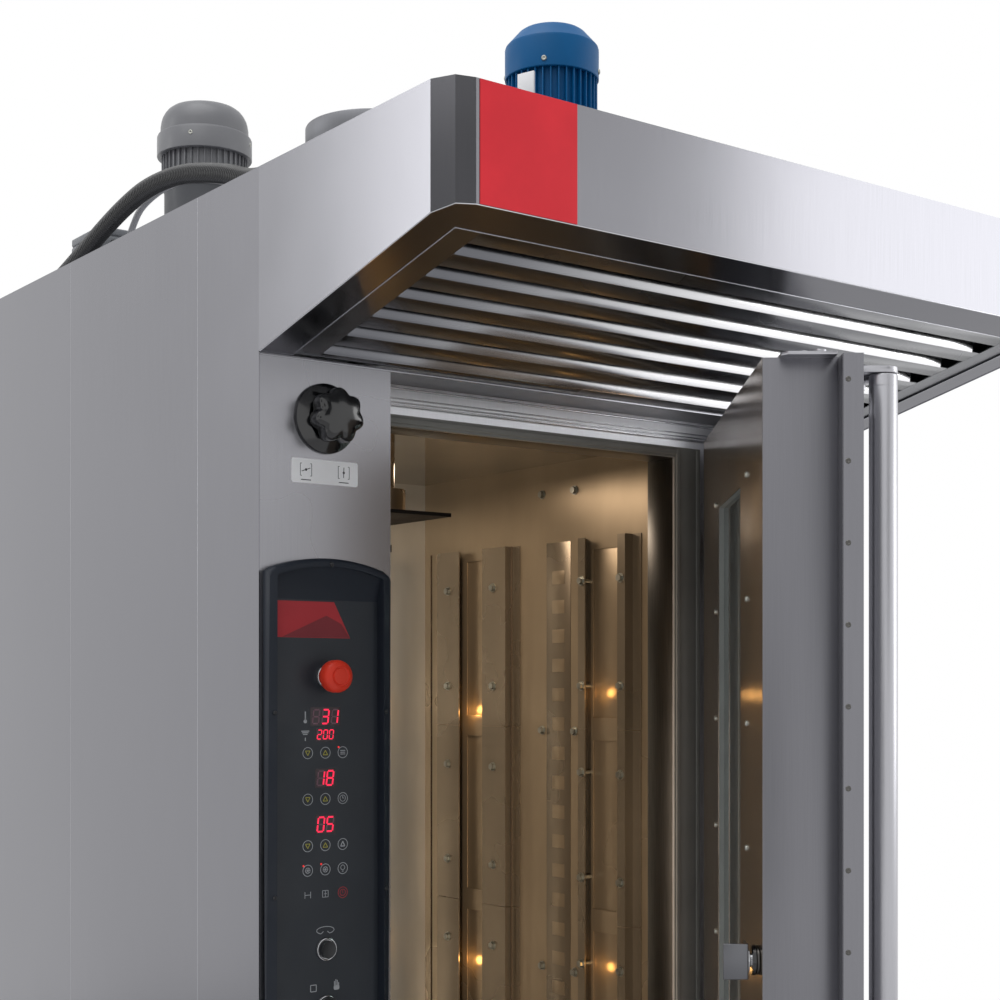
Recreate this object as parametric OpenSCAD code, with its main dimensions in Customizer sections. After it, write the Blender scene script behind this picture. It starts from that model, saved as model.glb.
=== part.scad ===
// Rotating rack oven with a slotted steam hood, a control column and a side-hung door.
// +Z is up, the front faces -Y, and the origin is on the floor under the rack's axis.
// The door stands 52 degrees open at rest.

/* [Body] */
// Overall width across the side panels
oven_w = 1076; // [1060:1:1110]
// Height of the roof above the floor
oven_h = 2200; // [2190:1:2240]
// Depth from the column fronts to the rear panel
oven_d = 1480; // [1460:1:1540]
// Distance from the column fronts back to the rack's axis
axis_setback = 559; // [552:1:566]
// Thickness of the outer sheets
skin_t = 1.5; // [1:0.1:2]
// Thickness of the chamber sheets
liner_t = 2; // [1.5:0.1:2.5]
// Height of the base frame
base_h = 70; // [64:1:74]
// Width of a base rail
rail_w = 60; // [50:1:64]
// Thickness of the chamber floor pan
floor_t = 10; // [8:0.5:11]
// Distance from the column fronts back to each side panel seam
panel_seams = [162, 573, 1026];
// Width of the bright gap at a side panel seam
seam_gap = 0.8; // [0.4:0.1:0.9]
// Thickness of the side insulation
side_pack_t = 58.5; // [50:0.5:64]
// Thickness of the rear insulation
rear_pack_t = 76.5; // [66:0.5:90]

/* [Chamber] */
// Inner width of the chamber
chamber_w = 784; // [776:1:792]
// Distance from the rack's axis to the back wall
back_wall_y = 449; // [440:1:460]
// Height of the chamber ceiling above the floor
ceiling_z = 1979; // [1976:1:1984]
// Height of one louvre length
louvre_h = 337; // [320:1:340]
// Number of louvre lengths in a column
louvre_count = 5; // [3:1:5]
// Top of the upper louvre
louvre_top = 1837; // [1800:1:1850]
// How far the louvres stand out from the wall
louvre_proud = 20; // [14:1:26]
// Width of the lip that lies on the wall
louvre_lip = 21; // [16:1:24]
// Radius of a louvre bolt
bolt_r = 4; // [3:0.5:5]
// Distance of a louvre bolt from its length's end
bolt_end = 76; // [60:1:90]
// Width of one return air slot
return_slot_w = 22; // [16:1:28]
// Number of return air slots
return_slots = 9; // [5:2:11]

/* [Front] */
// Width of the control column
left_column_w = 188.7; // [186:0.1:190]
// Width of the hinge column
right_column_w = 203; // [200:1:206]
// Height of the column tops
column_top = 1974; // [1960:1:1976]
// How far the door frame lies behind the column fronts
frame_recess = 100; // [94:1:104]
// Thickness of the door frame plate
frame_t = 3; // [2:0.5:4]
// Width of the door frame between the opening and the right column
frame_side_w = 104; // [96:1:110]
// How far the door's top reaches above the opening
door_over = 20; // [18:1:26]
// Depth of the returns round the opening
jamb_d = 57; // [40:1:60]
// Width of the frame gasket
gasket_w = 53; // [40:1:56]
// Width of the frame gasket on the latch side
latch_gasket_w = 22; // [16:1:26]
// Length of the entry ramp
ramp_l = 280; // [240:1:320]
// Thickness of the ramp plate
ramp_t = 3; // [2:0.5:4]

/* [Hood] */
// How far the hood reaches forward of the columns
hood_reach = 396; // [380:1:410]
// Rise of the hood's underside for each millimetre forward
hood_slope = 0.2327; // [0.2:0.001:0.24]
// Height of the hood's underside at the columns
hood_rear_z = 1978; // [1977:0.5:1979]
// Width of the inward lip along the sides
hood_lip = 44; // [36:1:50]
// Width of the inward lip along the front
hood_front_lip = 52; // [44:1:58]
// Number of slots in the baffle
slot_count = 6; // [4:1:6]
// Distance between slots
slot_pitch = 55.4; // [50:0.1:56]
// Width of a slot
slot_w = 26; // [18:1:28]
// Distance from each side panel to the slots
slot_end = 81; // [76:1:90]
// Width of the sign plate
sign_w = 129; // [110:1:150]
// Distance from the side to the sign plate
sign_x = 39.6; // [37:0.1:60]
// Thickness of the sign plate
sign_t = 1; // [0.6:0.1:2]
// Depth of the extraction box behind the column fronts
extract_d = 215; // [208:1:225]
// Radius of the flue pipe
flue_r = 95; // [90:1:100]
// Height of the flue pipe above the roof
flue_h = 125; // [110:1:150]

/* [Door] */
// Width of the door box
door_w = 649; // [645:0.5:650]
// Thickness of the door box behind the outer skin
door_box_t = 85.5; // [80:0.5:88]
// Thickness of the outer skin's pan
door_pan_t = 22.5; // [20:0.5:26]
// How far the outer skin reaches past the box at the free edge
door_lip = 29.6; // [26:0.1:30]
// Height of the door's top edge
door_top = 1944; // [1938:1:1948]
// Height of the door's lower edge
door_bottom = 88; // [86:1:96]
// Gap between the closed door and the frame
seal_gap = 5; // [4:0.5:6]
// How far the door stands open at rest
door_open = 52; // [0:1:80]
// Gap between the door's hinge edge and the column
hinge_gap = 4.4; // [4:0.1:5]
// How far the hinge axis lies behind the door's outer face
hinge_inset = 8; // [7:0.5:9]
// Outer radius of a hinge knuckle
knuckle_r = 7; // [6.5:0.1:7.5]
// Radius of a hinge pin
hinge_pin_r = 4; // [3:0.5:4.5]
// Height of one hinge
hinge_h = 90; // [70:1:110]
// Heights of the hinges' middles
hinge_zs = [260, 1020, 1780];
// Radial clearance of a running fit
fit = 0.05; // [0.03:0.01:0.09]
// Width of the window
window_w = 250; // [220:1:270]
// Height of the door's leaf above the window
window_head = 121; // [100:1:160]
// Height of the window's lower edge
window_bottom = 623; // [560:1:700]
// Thickness of a window pane
pane_t = 4; // [3:0.5:5]
// Depth of the inner pane behind the door's inner face
pane_recess = 8; // [7:0.5:10]
// How far the panes reach behind the window's edge
pane_lap = 10; // [8:1:14]

/* [Handle and latch] */
// Radius of the handle tube
handle_r = 16.5; // [14:0.5:18]
// Distance of the handle's centre line from the door's outer face
handle_off = 40; // [38:1:46]
// Distance from the box's free edge to the handle
handle_in = 60; // [54:1:66]
// Height of the handle's lower end
handle_bottom = 434; // [380:1:500]
// Thickness of a handle bracket plate
bracket_t = 8; // [6:0.5:10]
// Thickness of a handle arm
arm_t = 6; // [5:0.5:8]
// Radius of a handle pivot pin
handle_pin_r = 5; // [4:0.5:6]
// Distance from the handle to its pivot along the door
handle_pivot_x = 30; // [28:1:34]
// Distance from the handle to its pivot across the door
handle_pivot_y = 20; // [18:1:22]
// Height of the latch shaft
latch_z = 1262; // [1200:1:1300]
// Distance from the box's free edge to the latch shaft
latch_in = 30.4; // [28:0.1:34]
// Radius of the latch shaft
latch_r = 8; // [6:0.5:9]
// How far the latch tongue stands out of the inner face
latch_proud = 42; // [38:1:46]
// Height of the latch tongue
tongue_h = 41; // [36:1:44]
// Depth of the latch tongue
tongue_d = 29; // [26:1:30]
// Thickness of the latch tongue
tongue_t = 3; // [2:0.5:4]

/* [Controls] */
// Width of the control fascia
fascia_w = 178; // [172:1:184]
// Distance from the side panel to the fascia
fascia_x = 4; // [3:0.5:6]
// Height of the fascia's arched top
fascia_top = 1732; // [1700:1:1760]
// Height of the fascia's shoulders
fascia_shoulder = 1716; // [1680:1:1720]
// Height of the fascia's lower edge
fascia_bottom = 1012; // [980:1:1060]
// How far the fascia stands out of the column
fascia_d = 18; // [14:1:26]
// Width of the rim round the panel recess
fascia_rim = 12; // [10:1:17]
// Thickness of the control panel
panel_t = 3; // [2:0.5:4]
// Height of the emergency stop
estop_z = 1587; // [1570:1:1600]
// Radius of the emergency stop's mushroom
estop_r = 20; // [17:0.5:22]
// Travel of the emergency stop
estop_travel = 6; // [4:0.5:7]
// Height of the round push button
button_z = 1251; // [1240:1:1260]
// Height of the selector switch
selector_z = 1180; // [1170:1:1190]
// Outer radius of a switch collar
collar_r = 14.5; // [13:0.5:16]
// Radius of a switch shaft
switch_r = 10; // [8:0.5:11]
// Travel of the push button
button_travel = 3; // [2:0.5:3.5]
// Height of the damper knob
knob_z = 1905; // [1890:1:1910]
// Radius of the damper knob
knob_r = 34.5; // [30:0.5:38]
// Radius of the knob's bezel
bezel_r = 43.5; // [40:0.5:46]
// How far the knob's face stands out of the column
knob_proud = 45; // [40:1:50]
// Number of lobes on the knob
knob_lobes = 7; // [5:1:8]
// Radius of the damper shaft
damper_shaft_r = 6; // [5:0.5:7]
// Width of the steam duct
duct_w = 90; // [80:1:92]
// Depth of the steam duct
duct_d = 80; // [70:1:88]

/* [Drives] */
// Radius of the rack spindle
spindle_r = 20; // [16:0.5:24]
// Height of the rack carrier's underside
carrier_z = 1855; // [1840:1:1870]
// Thickness of the rack carrier plate
carrier_t = 6; // [5:0.5:8]
// Radius of the circulation fan
fan_r = 160; // [150:1:165]
// Number of blades on the circulation fan
fan_blades = 10; // [8:1:12]
// Distance from the back wall to the fan's axis
fan_setback = 194; // [190:1:198]
// Radius of the fan shaft
fan_shaft_r = 14; // [12:0.5:16]
// Height of the partition under the fan
partition_z = 1690; // [1660:1:1700]
// Height of the fan motor's stand
stand_h = 196; // [180:1:210]
// Radius of the fan motor's lower band
fan_motor_r = 92; // [90:1:96]
// Height of the fan motor
fan_motor_h = 315; // [305:1:330]
// Distance from the column fronts to the extractor's axis
extractor_setback = 109; // [108:1:112]
// Radius of the extractor wheel
extractor_r = 90; // [80:1:92]
// Radius of the extractor motor's cowl
extractor_motor_r = 68; // [64:1:70]
// Height of the extractor motor above the roof
extractor_motor_h = 320; // [305:1:335]
// Radius of the extractor shaft
extractor_shaft_r = 7; // [6:0.5:8]
// Height of the rack drive above the roof
gear_motor_h = 300; // [280:1:320]
// Number of heater elements
heater_count = 6; // [4:1:6]
// Radius of a heater element's tube
heater_r = 6.25; // [5:0.25:8]

/* [Hidden] */

rest_gap = 0.3;
hole_slack = 0.1;
side_in = oven_w / 2 - skin_t;
front_y = -axis_setback;
rear_y = front_y + oven_d;
rear_in = rear_y - skin_t;
roof_z = oven_h;
roof_under = oven_h - skin_t;
frame_y = front_y + frame_recess;
frame_back = frame_y + frame_t;
floor_z = base_h + floor_t;
ceiling_top = ceiling_z + liner_t;
plenum_out = side_in - side_pack_t;
plenum_in = plenum_out - liner_t;
plenum_rear = rear_in - rear_pack_t;
wall_in = chamber_w / 2;
wall_out = wall_in + liner_t;
back_wall_rear = back_wall_y + liner_t;
extract_rear = front_y + extract_d;
left_column_x = -oven_w / 2 + left_column_w;
right_column_x = oven_w / 2 - right_column_w;
opening_x = right_column_x - frame_side_w;
opening_top = door_top - door_over;
fan_y = back_wall_y + fan_setback;
extractor_y = front_y + extractor_setback;

// Closed-door planes; the door's parts are drawn closed and then swung open
door_in_y = frame_y - seal_gap;
door_box_y = door_in_y - door_box_t;
door_out_y = door_box_y - door_pan_t;
hinge_x = right_column_x - hinge_gap;
hinge_y = door_out_y + hinge_inset;
door_free_x = hinge_x - door_w;
skin_free_x = door_free_x - door_lip;
window_x0 = door_free_x + 200;
window_x1 = window_x0 + window_w;
glass_in_y = door_in_y - pane_recess;
glass_out_y = door_out_y + 4;
frame_wall = 12;
latch_x = door_free_x + latch_in;
handle_x = door_free_x + handle_in;
handle_y = door_out_y - handle_off;
pivot_x = handle_x + handle_pivot_x;
pivot_y = handle_y + handle_pivot_y;
bush_r = latch_r + 4;

// Front controls
control_x = -oven_w / 2 + fascia_x + fascia_w / 2 - 2;
fascia_mid = -oven_w / 2 + fascia_x + fascia_w / 2;
panel_y = front_y - panel_t;
knob_x = control_x + 1;
duct_x0 = knob_x - duct_w / 2;
duct_x1 = knob_x + duct_w / 2;
duct_y0 = frame_y - duct_d;
duct_bottom = 1700;
duct_port_h = 80;

bearing_wall = 12;
hole_r_spindle = spindle_r + 25;
hole_r_fan = fan_shaft_r + 16;
hole_r_extractor = extractor_shaft_r + 12;

// ---------------------------------------------------------------- helpers

module slab(x, y, z)
    translate([x[0], y[0], z[0]])
        cube([x[1] - x[0], y[1] - y[0], z[1] - z[0]]);

module both_sides() {
    children();
    mirror([1, 0, 0]) children();
}

module door_place()
    translate([hinge_x, hinge_y, 0])
        rotate([0, 0, door_open])
            translate([-hinge_x, -hinge_y, 0]) children();

// A cylinder whose axis runs along +Y from y0 to y1
module rod_y(x, z, y0, y1, r)
    translate([x, y0, z]) rotate([-90, 0, 0]) cylinder(r = r, h = y1 - y0, $fn = 48);

module rod_z(x, y, z0, z1, r)
    translate([x, y, z0]) cylinder(r = r, h = z1 - z0, $fn = 64);

// ---------------------------------------------------------------- base and body

base_crosses = [frame_y, -rail_w / 2, back_wall_y, rear_in - rail_w];

module base_frame() color("dimgray") {
    both_sides() slab([side_in - rail_w, side_in], [front_y, rear_in], [0, base_h]);
    for (y = base_crosses)
        slab([-side_in, side_in], [y, y + rail_w], [0, base_h]);
    slab([-side_in, left_column_x], [front_y, front_y + rail_w], [0, base_h]);
    slab([right_column_x, side_in], [front_y, front_y + rail_w], [0, base_h]);
}

module entry_ramp() color("silver") {
    cheek_t = 3;
    translate([-opening_x, 0, 0]) rotate([90, 0, 90])
        linear_extrude(2 * opening_x) polygon([
            [frame_y - ramp_l, 0], [frame_y - ramp_l + ramp_t * 3, 0],
            [frame_y, floor_z - ramp_t], [frame_y, floor_z]]);
    for (x = [-opening_x, opening_x - cheek_t])
        translate([x, 0, 0]) rotate([90, 0, 90])
            linear_extrude(cheek_t) polygon([
                [frame_y - ramp_l, 0], [frame_y, 0], [frame_y, floor_z]]);
}

module insulation_packs() color("khaki") {
    both_sides() slab([plenum_out, side_in], [frame_back, rear_in], [base_h, ceiling_top]);
    slab([-plenum_out, plenum_out], [plenum_rear, rear_in], [base_h, ceiling_top]);
    difference() {
        slab([-side_in, side_in], [extract_rear, rear_in], [ceiling_top, roof_under]);
        rod_z(0, 0, ceiling_z, roof_z, hole_r_spindle);
        rod_z(0, fan_y, ceiling_z, roof_z, hole_r_fan);
    }
    for (i = [0 : len(base_crosses) - 2])
        slab([-side_in + rail_w, side_in - rail_w],
            [base_crosses[i] + rail_w, base_crosses[i + 1]], [base_h / 3, base_h]);
}

module plenum_shell() color("gainsboro") {
    both_sides() slab([plenum_in, plenum_out], [frame_back, plenum_rear], [floor_z, ceiling_z]);
    slab([-plenum_out, plenum_out], [plenum_rear - liner_t, plenum_rear], [floor_z, ceiling_z]);
}

module chamber_floor() color("silver") {
    slab([-plenum_out, plenum_out], [frame_back, plenum_rear], [base_h, floor_z]);
    slab([-opening_x, opening_x], [frame_y, frame_back + 1], [base_h, floor_z]);
}

gap_a = [228, 304];
gap_b = [-164, -77];
strip_a = [134, 399];
strip_b = [-205, -37];
bridge_h = 20;

function louvre_z(i) = louvre_top - louvre_h * (i + 1);

module side_wall() {
    difference() {
        slab([wall_in, wall_out], [frame_back, back_wall_y], [floor_z, ceiling_z]);
        for (i = [0 : louvre_count - 1])
            for (g = [gap_a, gap_b])
                slab([wall_in - 1, wall_out + 1], g,
                    [louvre_z(i) + bridge_h, louvre_z(i) + louvre_h - bridge_h]);
    }
}

module right_wall() color("rosybrown") side_wall();

module left_wall() color("rosybrown") mirror([1, 0, 0]) side_wall();

module back_wall() color("gainsboro") {
    slot_span = 2 * wall_in - 240;
    difference() {
        union() {
            slab([-wall_out, wall_out], [back_wall_y, back_wall_rear], [floor_z, ceiling_z]);
            slab([-plenum_in, plenum_in], [back_wall_y, back_wall_rear], [floor_z, partition_z]);
        }
        for (i = [0 : return_slots - 1])
            translate([slot_span * (i / (return_slots - 1) - 0.5), 0, 0])
                slab([-return_slot_w / 2, return_slot_w / 2],
                    [back_wall_y - 1, back_wall_rear + 1], [floor_z + 220, partition_z - 190]);
    }
}

module chamber_ceiling() color("rosybrown")
    difference() {
        slab([-plenum_out, plenum_out], [frame_back, plenum_rear], [ceiling_z, ceiling_top]);
        rod_z(0, 0, ceiling_z - 1, ceiling_top + 1, spindle_r + bearing_wall + hole_slack);
        rod_z(0, fan_y, ceiling_z - 1, ceiling_top + 1, hole_r_fan);
    }

// One bolt standing on the right wall, its head lying on a louvre `proud` off the wall
module bolt_x(y, z, proud)
    translate([wall_in, y, z]) rotate([0, -90, 0]) {
        cylinder(r = bolt_r, h = proud + 1, $fn = 24);
        translate([0, 0, proud]) cylinder(r = bolt_r * 2.1, h = 1.6, $fn = 24);
        translate([0, 0, proud + 1.6]) cylinder(r = bolt_r * 1.6, h = bolt_r * 1.3, $fn = 6);
    }

// A folded strip from the lip on the wall to the edge of the air gap
module louvre_strip(edge, gap_edge, z0) {
    s = edge < gap_edge ? 1 : -1;
    fold = edge + s * louvre_lip;
    lo = z0 + 0.5;
    hi = z0 + louvre_h - 0.5;
    ys = function (a, b) [min(a, b), max(a, b)];
    slab([wall_in - liner_t, wall_in], ys(edge, fold + s * liner_t), [lo, hi]);
    slab([wall_in - louvre_proud, wall_in], ys(fold, fold + s * liner_t), [lo, hi]);
    slab([wall_in - louvre_proud, wall_in - louvre_proud + liner_t], ys(fold, gap_edge), [lo, hi]);
}

module louvre_side()
    for (i = [0 : louvre_count - 1])
        for (g = [[strip_a, gap_a], [strip_b, gap_b]])
            for (s = [0, 1]) difference() {
                louvre_strip(g[0][s], g[1][s], louvre_z(i));
                for (z = [bolt_end, louvre_h - bolt_end])
                    translate([wall_in - louvre_proud - 1,
                        louvre_bolt_y(g[0][s], g[1][s]), louvre_z(i) + z])
                        rotate([0, 90, 0])
                            cylinder(r = bolt_r + hole_slack, h = liner_t + 2, $fn = 24);
            }

function louvre_bolt_y(edge, gap_edge) =
    (edge + sign(gap_edge - edge) * (louvre_lip + liner_t) + gap_edge) / 2;

module air_louvres() color("tan") both_sides() louvre_side();

wall_rows = [[67, 431], [-26, 431], [-262, 260]];

module wall_bolts() color("silver") both_sides() {
    for (i = [0 : louvre_count - 1])
        for (g = [[strip_a, gap_a], [strip_b, gap_b]])
            for (s = [0, 1])
                for (z = [bolt_end, louvre_h - bolt_end])
                    bolt_x(louvre_bolt_y(g[0][s], g[1][s]), louvre_z(i) + z, louvre_proud);
    for (row = wall_rows)
        for (z = [1926 : -row[1] : 150])
            if (z < ceiling_z - 20) bolt_x(row[0], z, 0.5);
}

heater_pitch = 90;
heater_leg = 30;
heater_top = 1600;
heater_low = 500;
shelf_x = 300;

module heater_partitions() color("gray") {
    difference() {
        slab([-plenum_in, plenum_in], [back_wall_rear, plenum_rear - liner_t],
            [partition_z, partition_z + liner_t]);
        rod_z(0, fan_y, partition_z - 1, partition_z + liner_t + 1, fan_r * 0.62);
    }
    difference() {
        slab([-shelf_x, shelf_x], [back_wall_rear, plenum_rear - liner_t],
            [heater_top, heater_top + liner_t]);
        for (i = [0 : heater_count - 1])
            for (s = [-1, 1])
                rod_z(heater_x(i) + s * heater_leg, fan_y, heater_top - 1,
                    heater_top + liner_t + 1, heater_r + hole_slack);
    }
}

function heater_x(i) = (i - (heater_count - 1) / 2) * heater_pitch;

module heater_elements() color("darkslategray")
    for (i = [0 : heater_count - 1]) translate([heater_x(i), fan_y, 0]) {
        for (s = [-1, 1]) {
            translate([s * heater_leg, 0, heater_low])
                cylinder(r = heater_r, h = heater_top - heater_low + 30, $fn = 32);
            translate([s * heater_leg, 0, heater_top + liner_t])
                cylinder(r = heater_r + 4, h = 8, $fn = 6);
        }
        translate([0, 0, heater_low]) rotate([90, 0, 0]) rotate([0, 0, 180])
            rotate_extrude(angle = 180, $fn = 48)
                translate([heater_leg, 0]) circle(r = heater_r, $fn = 32);
    }

lamp_zs = [620, 1300];
lamp_y = frame_back + 70;

module chamber_lamps() color("ivory")
    for (z = lamp_zs) both_sides()
        translate([wall_in, lamp_y, z]) rotate([0, -90, 0]) {
            cylinder(r = 34, h = 4, $fn = 48);
            translate([0, 0, 4]) cylinder(r1 = 26, r2 = 20, h = 10, $fn = 48);
        }

// ---------------------------------------------------------------- outer panels

// One side's panels, cut along the seams
module side_panels(seams) {
    ends = concat([0], seams, [oven_d]);
    for (i = [0 : len(ends) - 2])
        slab([side_in, oven_w / 2],
            [front_y + ends[i] + (i > 0 ? seam_gap / 2 : 0),
                front_y + ends[i + 1] - (i < len(ends) - 2 ? seam_gap / 2 : 0)],
            [0.5, roof_z]);
}

module left_panels() color("lightgray") mirror([1, 0, 0]) side_panels(panel_seams);

module right_panels() color("lightgray") side_panels(panel_seams);

module rear_panel() color("lightgray")
    slab([-side_in, side_in], [rear_in, rear_y], [0.5, roof_z]);

module roof_panel() color("silver")
    difference() {
        slab([-side_in, side_in], [front_y, rear_in], [roof_under, roof_z]);
        rod_z(0, 0, roof_under - 1, roof_z + 1, spindle_r + bearing_wall + hole_slack);
        rod_z(0, fan_y, roof_under - 1, roof_z + 1, hole_r_fan);
        rod_z(0, extractor_y, roof_under - 1, roof_z + 1, hole_r_extractor);
        rod_z(flue_x, flue_y, roof_under - 1, roof_z + 1, flue_r - 2 * skin_t);
    }

column_flange = 24;

module left_column() color("gainsboro")
    difference() {
        union() {
            slab([-side_in, left_column_x], [front_y, front_y + skin_t], [base_h, column_top]);
            slab([left_column_x - skin_t, left_column_x], [front_y, frame_y],
                [base_h, column_top]);
            slab([left_column_x - column_flange, left_column_x],
                [frame_y - skin_t, frame_y], [base_h, column_top]);
        }
        rod_y(knob_x, knob_z, front_y - 1, front_y + skin_t + 1, damper_shaft_r + 4);
        for (z = [estop_z, button_z, selector_z])
            rod_y(control_x, z, front_y - 1, front_y + skin_t + 1, switch_r + 3);
    }

module right_column() color("gainsboro")
    difference() {
        union() {
            slab([right_column_x, side_in], [front_y, front_y + skin_t], [base_h, column_top]);
            slab([right_column_x, right_column_x + skin_t], [front_y, frame_y],
                [base_h, column_top]);
            slab([right_column_x, right_column_x + column_flange],
                [frame_y - skin_t, frame_y], [base_h, column_top]);
        }
        for (z = hinge_zs)
            rod_z(hinge_x, hinge_y, z - hinge_h / 2 - 1, z + hinge_h / 2 + 1, knuckle_r + 0.6);
    }

latch_hole_r = 34;

module door_frame() color("silver")
    difference() {
        union() {
            slab([-side_in, side_in], [frame_y, frame_back], [base_h, ceiling_top]);
            slab([-opening_x - liner_t, opening_x + liner_t], [frame_y, frame_back + jamb_d],
                [floor_z, opening_top + liner_t]);
        }
        slab([-opening_x, opening_x], [frame_y - 1, frame_back + jamb_d + 1],
            [base_h - 1, opening_top]);
        rod_y(latch_x, latch_z, frame_y - 1, frame_back + 1, latch_hole_r);
        slab([duct_x0 + skin_t, duct_x1 - skin_t], [frame_y - 1, frame_back + 1],
            [duct_bottom + skin_t, duct_bottom + duct_port_h]);
    }

module frame_gasket() color("darkslategray") {
    lip = seal_gap - rest_gap;
    difference() {
        slab([-opening_x - latch_gasket_w, opening_x + gasket_w], [frame_y - lip, frame_y],
            [floor_z, min(opening_top + 16, door_top - 2)]);
        slab([-opening_x, opening_x], [frame_y - lip - 1, frame_y + 1],
            [floor_z - 1, opening_top]);
    }
}

// ---------------------------------------------------------------- hood and extraction

flue_x = -oven_w / 2 + 250;
flue_y = front_y + 130;
box_x = 500;

module extractor_box() color("silver")
    difference() {
        slab([-box_x, box_x], [front_y + rest_gap, extract_rear], [ceiling_top, roof_under]);
        slab([-box_x + skin_t, box_x - skin_t], [front_y - 1, extract_rear - skin_t],
            [ceiling_top + skin_t, roof_under + 1]);
        slab([duct_x0 + skin_t, duct_x1 - skin_t], [duct_y0 + skin_t, frame_y - skin_t],
            [ceiling_top - 1, ceiling_top + skin_t + 1]);
    }

module steam_duct() color("silver")
    difference() {
        slab([duct_x0, duct_x1], [duct_y0, frame_y], [duct_bottom, ceiling_top]);
        slab([duct_x0 + skin_t, duct_x1 - skin_t], [duct_y0 + skin_t, frame_y - skin_t],
            [duct_bottom + skin_t, ceiling_top + 1]);
        slab([duct_x0 + skin_t, duct_x1 - skin_t], [frame_y - skin_t - 1, frame_y + 1],
            [duct_bottom + skin_t, duct_bottom + duct_port_h]);
        rod_y(knob_x, knob_z, duct_y0 - 1, frame_y - skin_t - 2, damper_shaft_r + fit);
    }

hood_half = oven_w / 2;
corner_a = [13, 6];
corner_b = [35, 32];

// The hood's plan, `inset` inside its outer faces
function hood_plan(inset) = [
    [-hood_half + inset, front_y],
    [-hood_half + inset, front_y - hood_reach + corner_b[1]],
    [-hood_half + corner_a[0] + inset * 0.83, front_y - hood_reach + corner_a[1] + inset * 0.5],
    [-hood_half + corner_b[0] + inset * 0.25, front_y - hood_reach + inset],
    [hood_half - corner_b[0] - inset * 0.25, front_y - hood_reach + inset],
    [hood_half - corner_a[0] - inset * 0.83, front_y - hood_reach + corner_a[1] + inset * 0.5],
    [hood_half - inset, front_y - hood_reach + corner_b[1]],
    [hood_half - inset, front_y]];

function hood_z(y) = hood_rear_z + (front_y - y) * hood_slope;

// A layer `t` thick that follows the sloping underside, `up` above it
module slope_layer(up, t, x)
    translate([-x, 0, 0]) rotate([90, 0, 90]) linear_extrude(2 * x) polygon([
        [front_y, hood_z(front_y) + up],
        [front_y - hood_reach - 10, hood_z(front_y - hood_reach - 10) + up],
        [front_y - hood_reach - 10, hood_z(front_y - hood_reach - 10) + up + t],
        [front_y, hood_z(front_y) + up + t]]);

module hood_shell() color("gainsboro") {
    difference() {
        translate([0, 0, hood_rear_z]) linear_extrude(roof_z - hood_rear_z)
            polygon(hood_plan(0));
        translate([0, 0, hood_rear_z - 1]) linear_extrude(roof_under - hood_rear_z + 1)
            polygon(hood_plan(skin_t));
        slope_layer(-200, 200, hood_half + 1);
    }
    difference() {
        intersection() {
            slope_layer(0, skin_t, hood_half + 1);
            translate([0, 0, hood_rear_z - 1]) linear_extrude(300)
                polygon(hood_plan(skin_t / 2));
        }
        slab([-hood_half + hood_lip, hood_half - hood_lip],
            [front_y - hood_reach + hood_front_lip, front_y + 1], [hood_rear_z - 20, roof_z]);
    }
}

function slot_y(i) = front_y - 14 - i * slot_pitch;

module hood_baffle() color("gray") {
    flap_x = hood_half - slot_end;
    difference() {
        intersection() {
            slope_layer(skin_t, skin_t, hood_half);
            slab([-hood_half + hood_lip - 14, hood_half - hood_lip + 14],
                [front_y - hood_reach + hood_front_lip - 14, front_y],
                [hood_rear_z - 20, roof_z]);
        }
        for (i = [0 : slot_count - 1])
            slab([-flap_x, flap_x], [slot_y(i) - slot_w, slot_y(i)],
                [hood_rear_z - 20, roof_z]);
    }
    for (i = [0 : slot_count - 1])
        translate([-flap_x, 0, 0]) rotate([90, 0, 90]) linear_extrude(2 * flap_x) polygon([
            [slot_y(i), hood_z(slot_y(i)) + skin_t],
            [slot_y(i), hood_z(slot_y(i)) + 2 * skin_t],
            [slot_y(i) - slot_w * 0.9, hood_z(slot_y(i) - slot_w) + 16 + skin_t],
            [slot_y(i) - slot_w * 0.9, hood_z(slot_y(i) - slot_w) + 16]]);
}

module sign_plate() color("crimson")
    slab([-hood_half + sign_x, -hood_half + sign_x + sign_w],
        [front_y - hood_reach - sign_t, front_y - hood_reach],
        [hood_z(front_y - hood_reach) + 0.5, roof_z - 0.5]);

module flue_pipe() color("silver") translate([flue_x, flue_y, roof_z])
    difference() {
        union() {
            cylinder(r = flue_r, h = flue_h, $fn = 96);
            cylinder(r = flue_r + 18, h = 2, $fn = 96);
        }
        translate([0, 0, -1]) cylinder(r = flue_r - skin_t, h = flue_h + 2, $fn = 96);
    }

// ---------------------------------------------------------------- motors

// Upright finned motor standing at z = 0, its shaft socket open downward; crown lists the
// cowl's outline as [share of r, drop below the top]
module motor(r, h, cowl_h, crown, socket_r, fins, box_side) {
    body_r = r * 0.86;
    difference() {
        union() {
            rotate_extrude($fn = 72) polygon(concat([
                [0, 0], [r, 0], [r, 10], [body_r, 16], [body_r, h - cowl_h],
                [r * 0.92, h - cowl_h], [r, h - cowl_h + 3]],
                [for (c = crown) [r * c[0], h - c[1]]], [[0, h]]));
            for (i = [0 : fins - 1]) rotate([0, 0, (i + 0.5) * 360 / fins])
                translate([body_r - 1, -1.2, 7])
                    cube([r - body_r - 1, 2.4, h - cowl_h + 2]);
            rotate([0, 0, box_side])
                translate([body_r - 3, -r / 2, h / 9]) cube([r / 2, r, h / 5]);
        }
        translate([0, 0, -1]) cylinder(r = socket_r, h = 41, $fn = 48);
    }
}

module extractor_motor() color("steelblue")
    translate([0, extractor_y, roof_z])
        motor(extractor_motor_r, extractor_motor_h, 70,
            [[1, 26], [0.72, 4], [0.6, 0]], extractor_shaft_r + fit, 28, 90);

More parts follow.
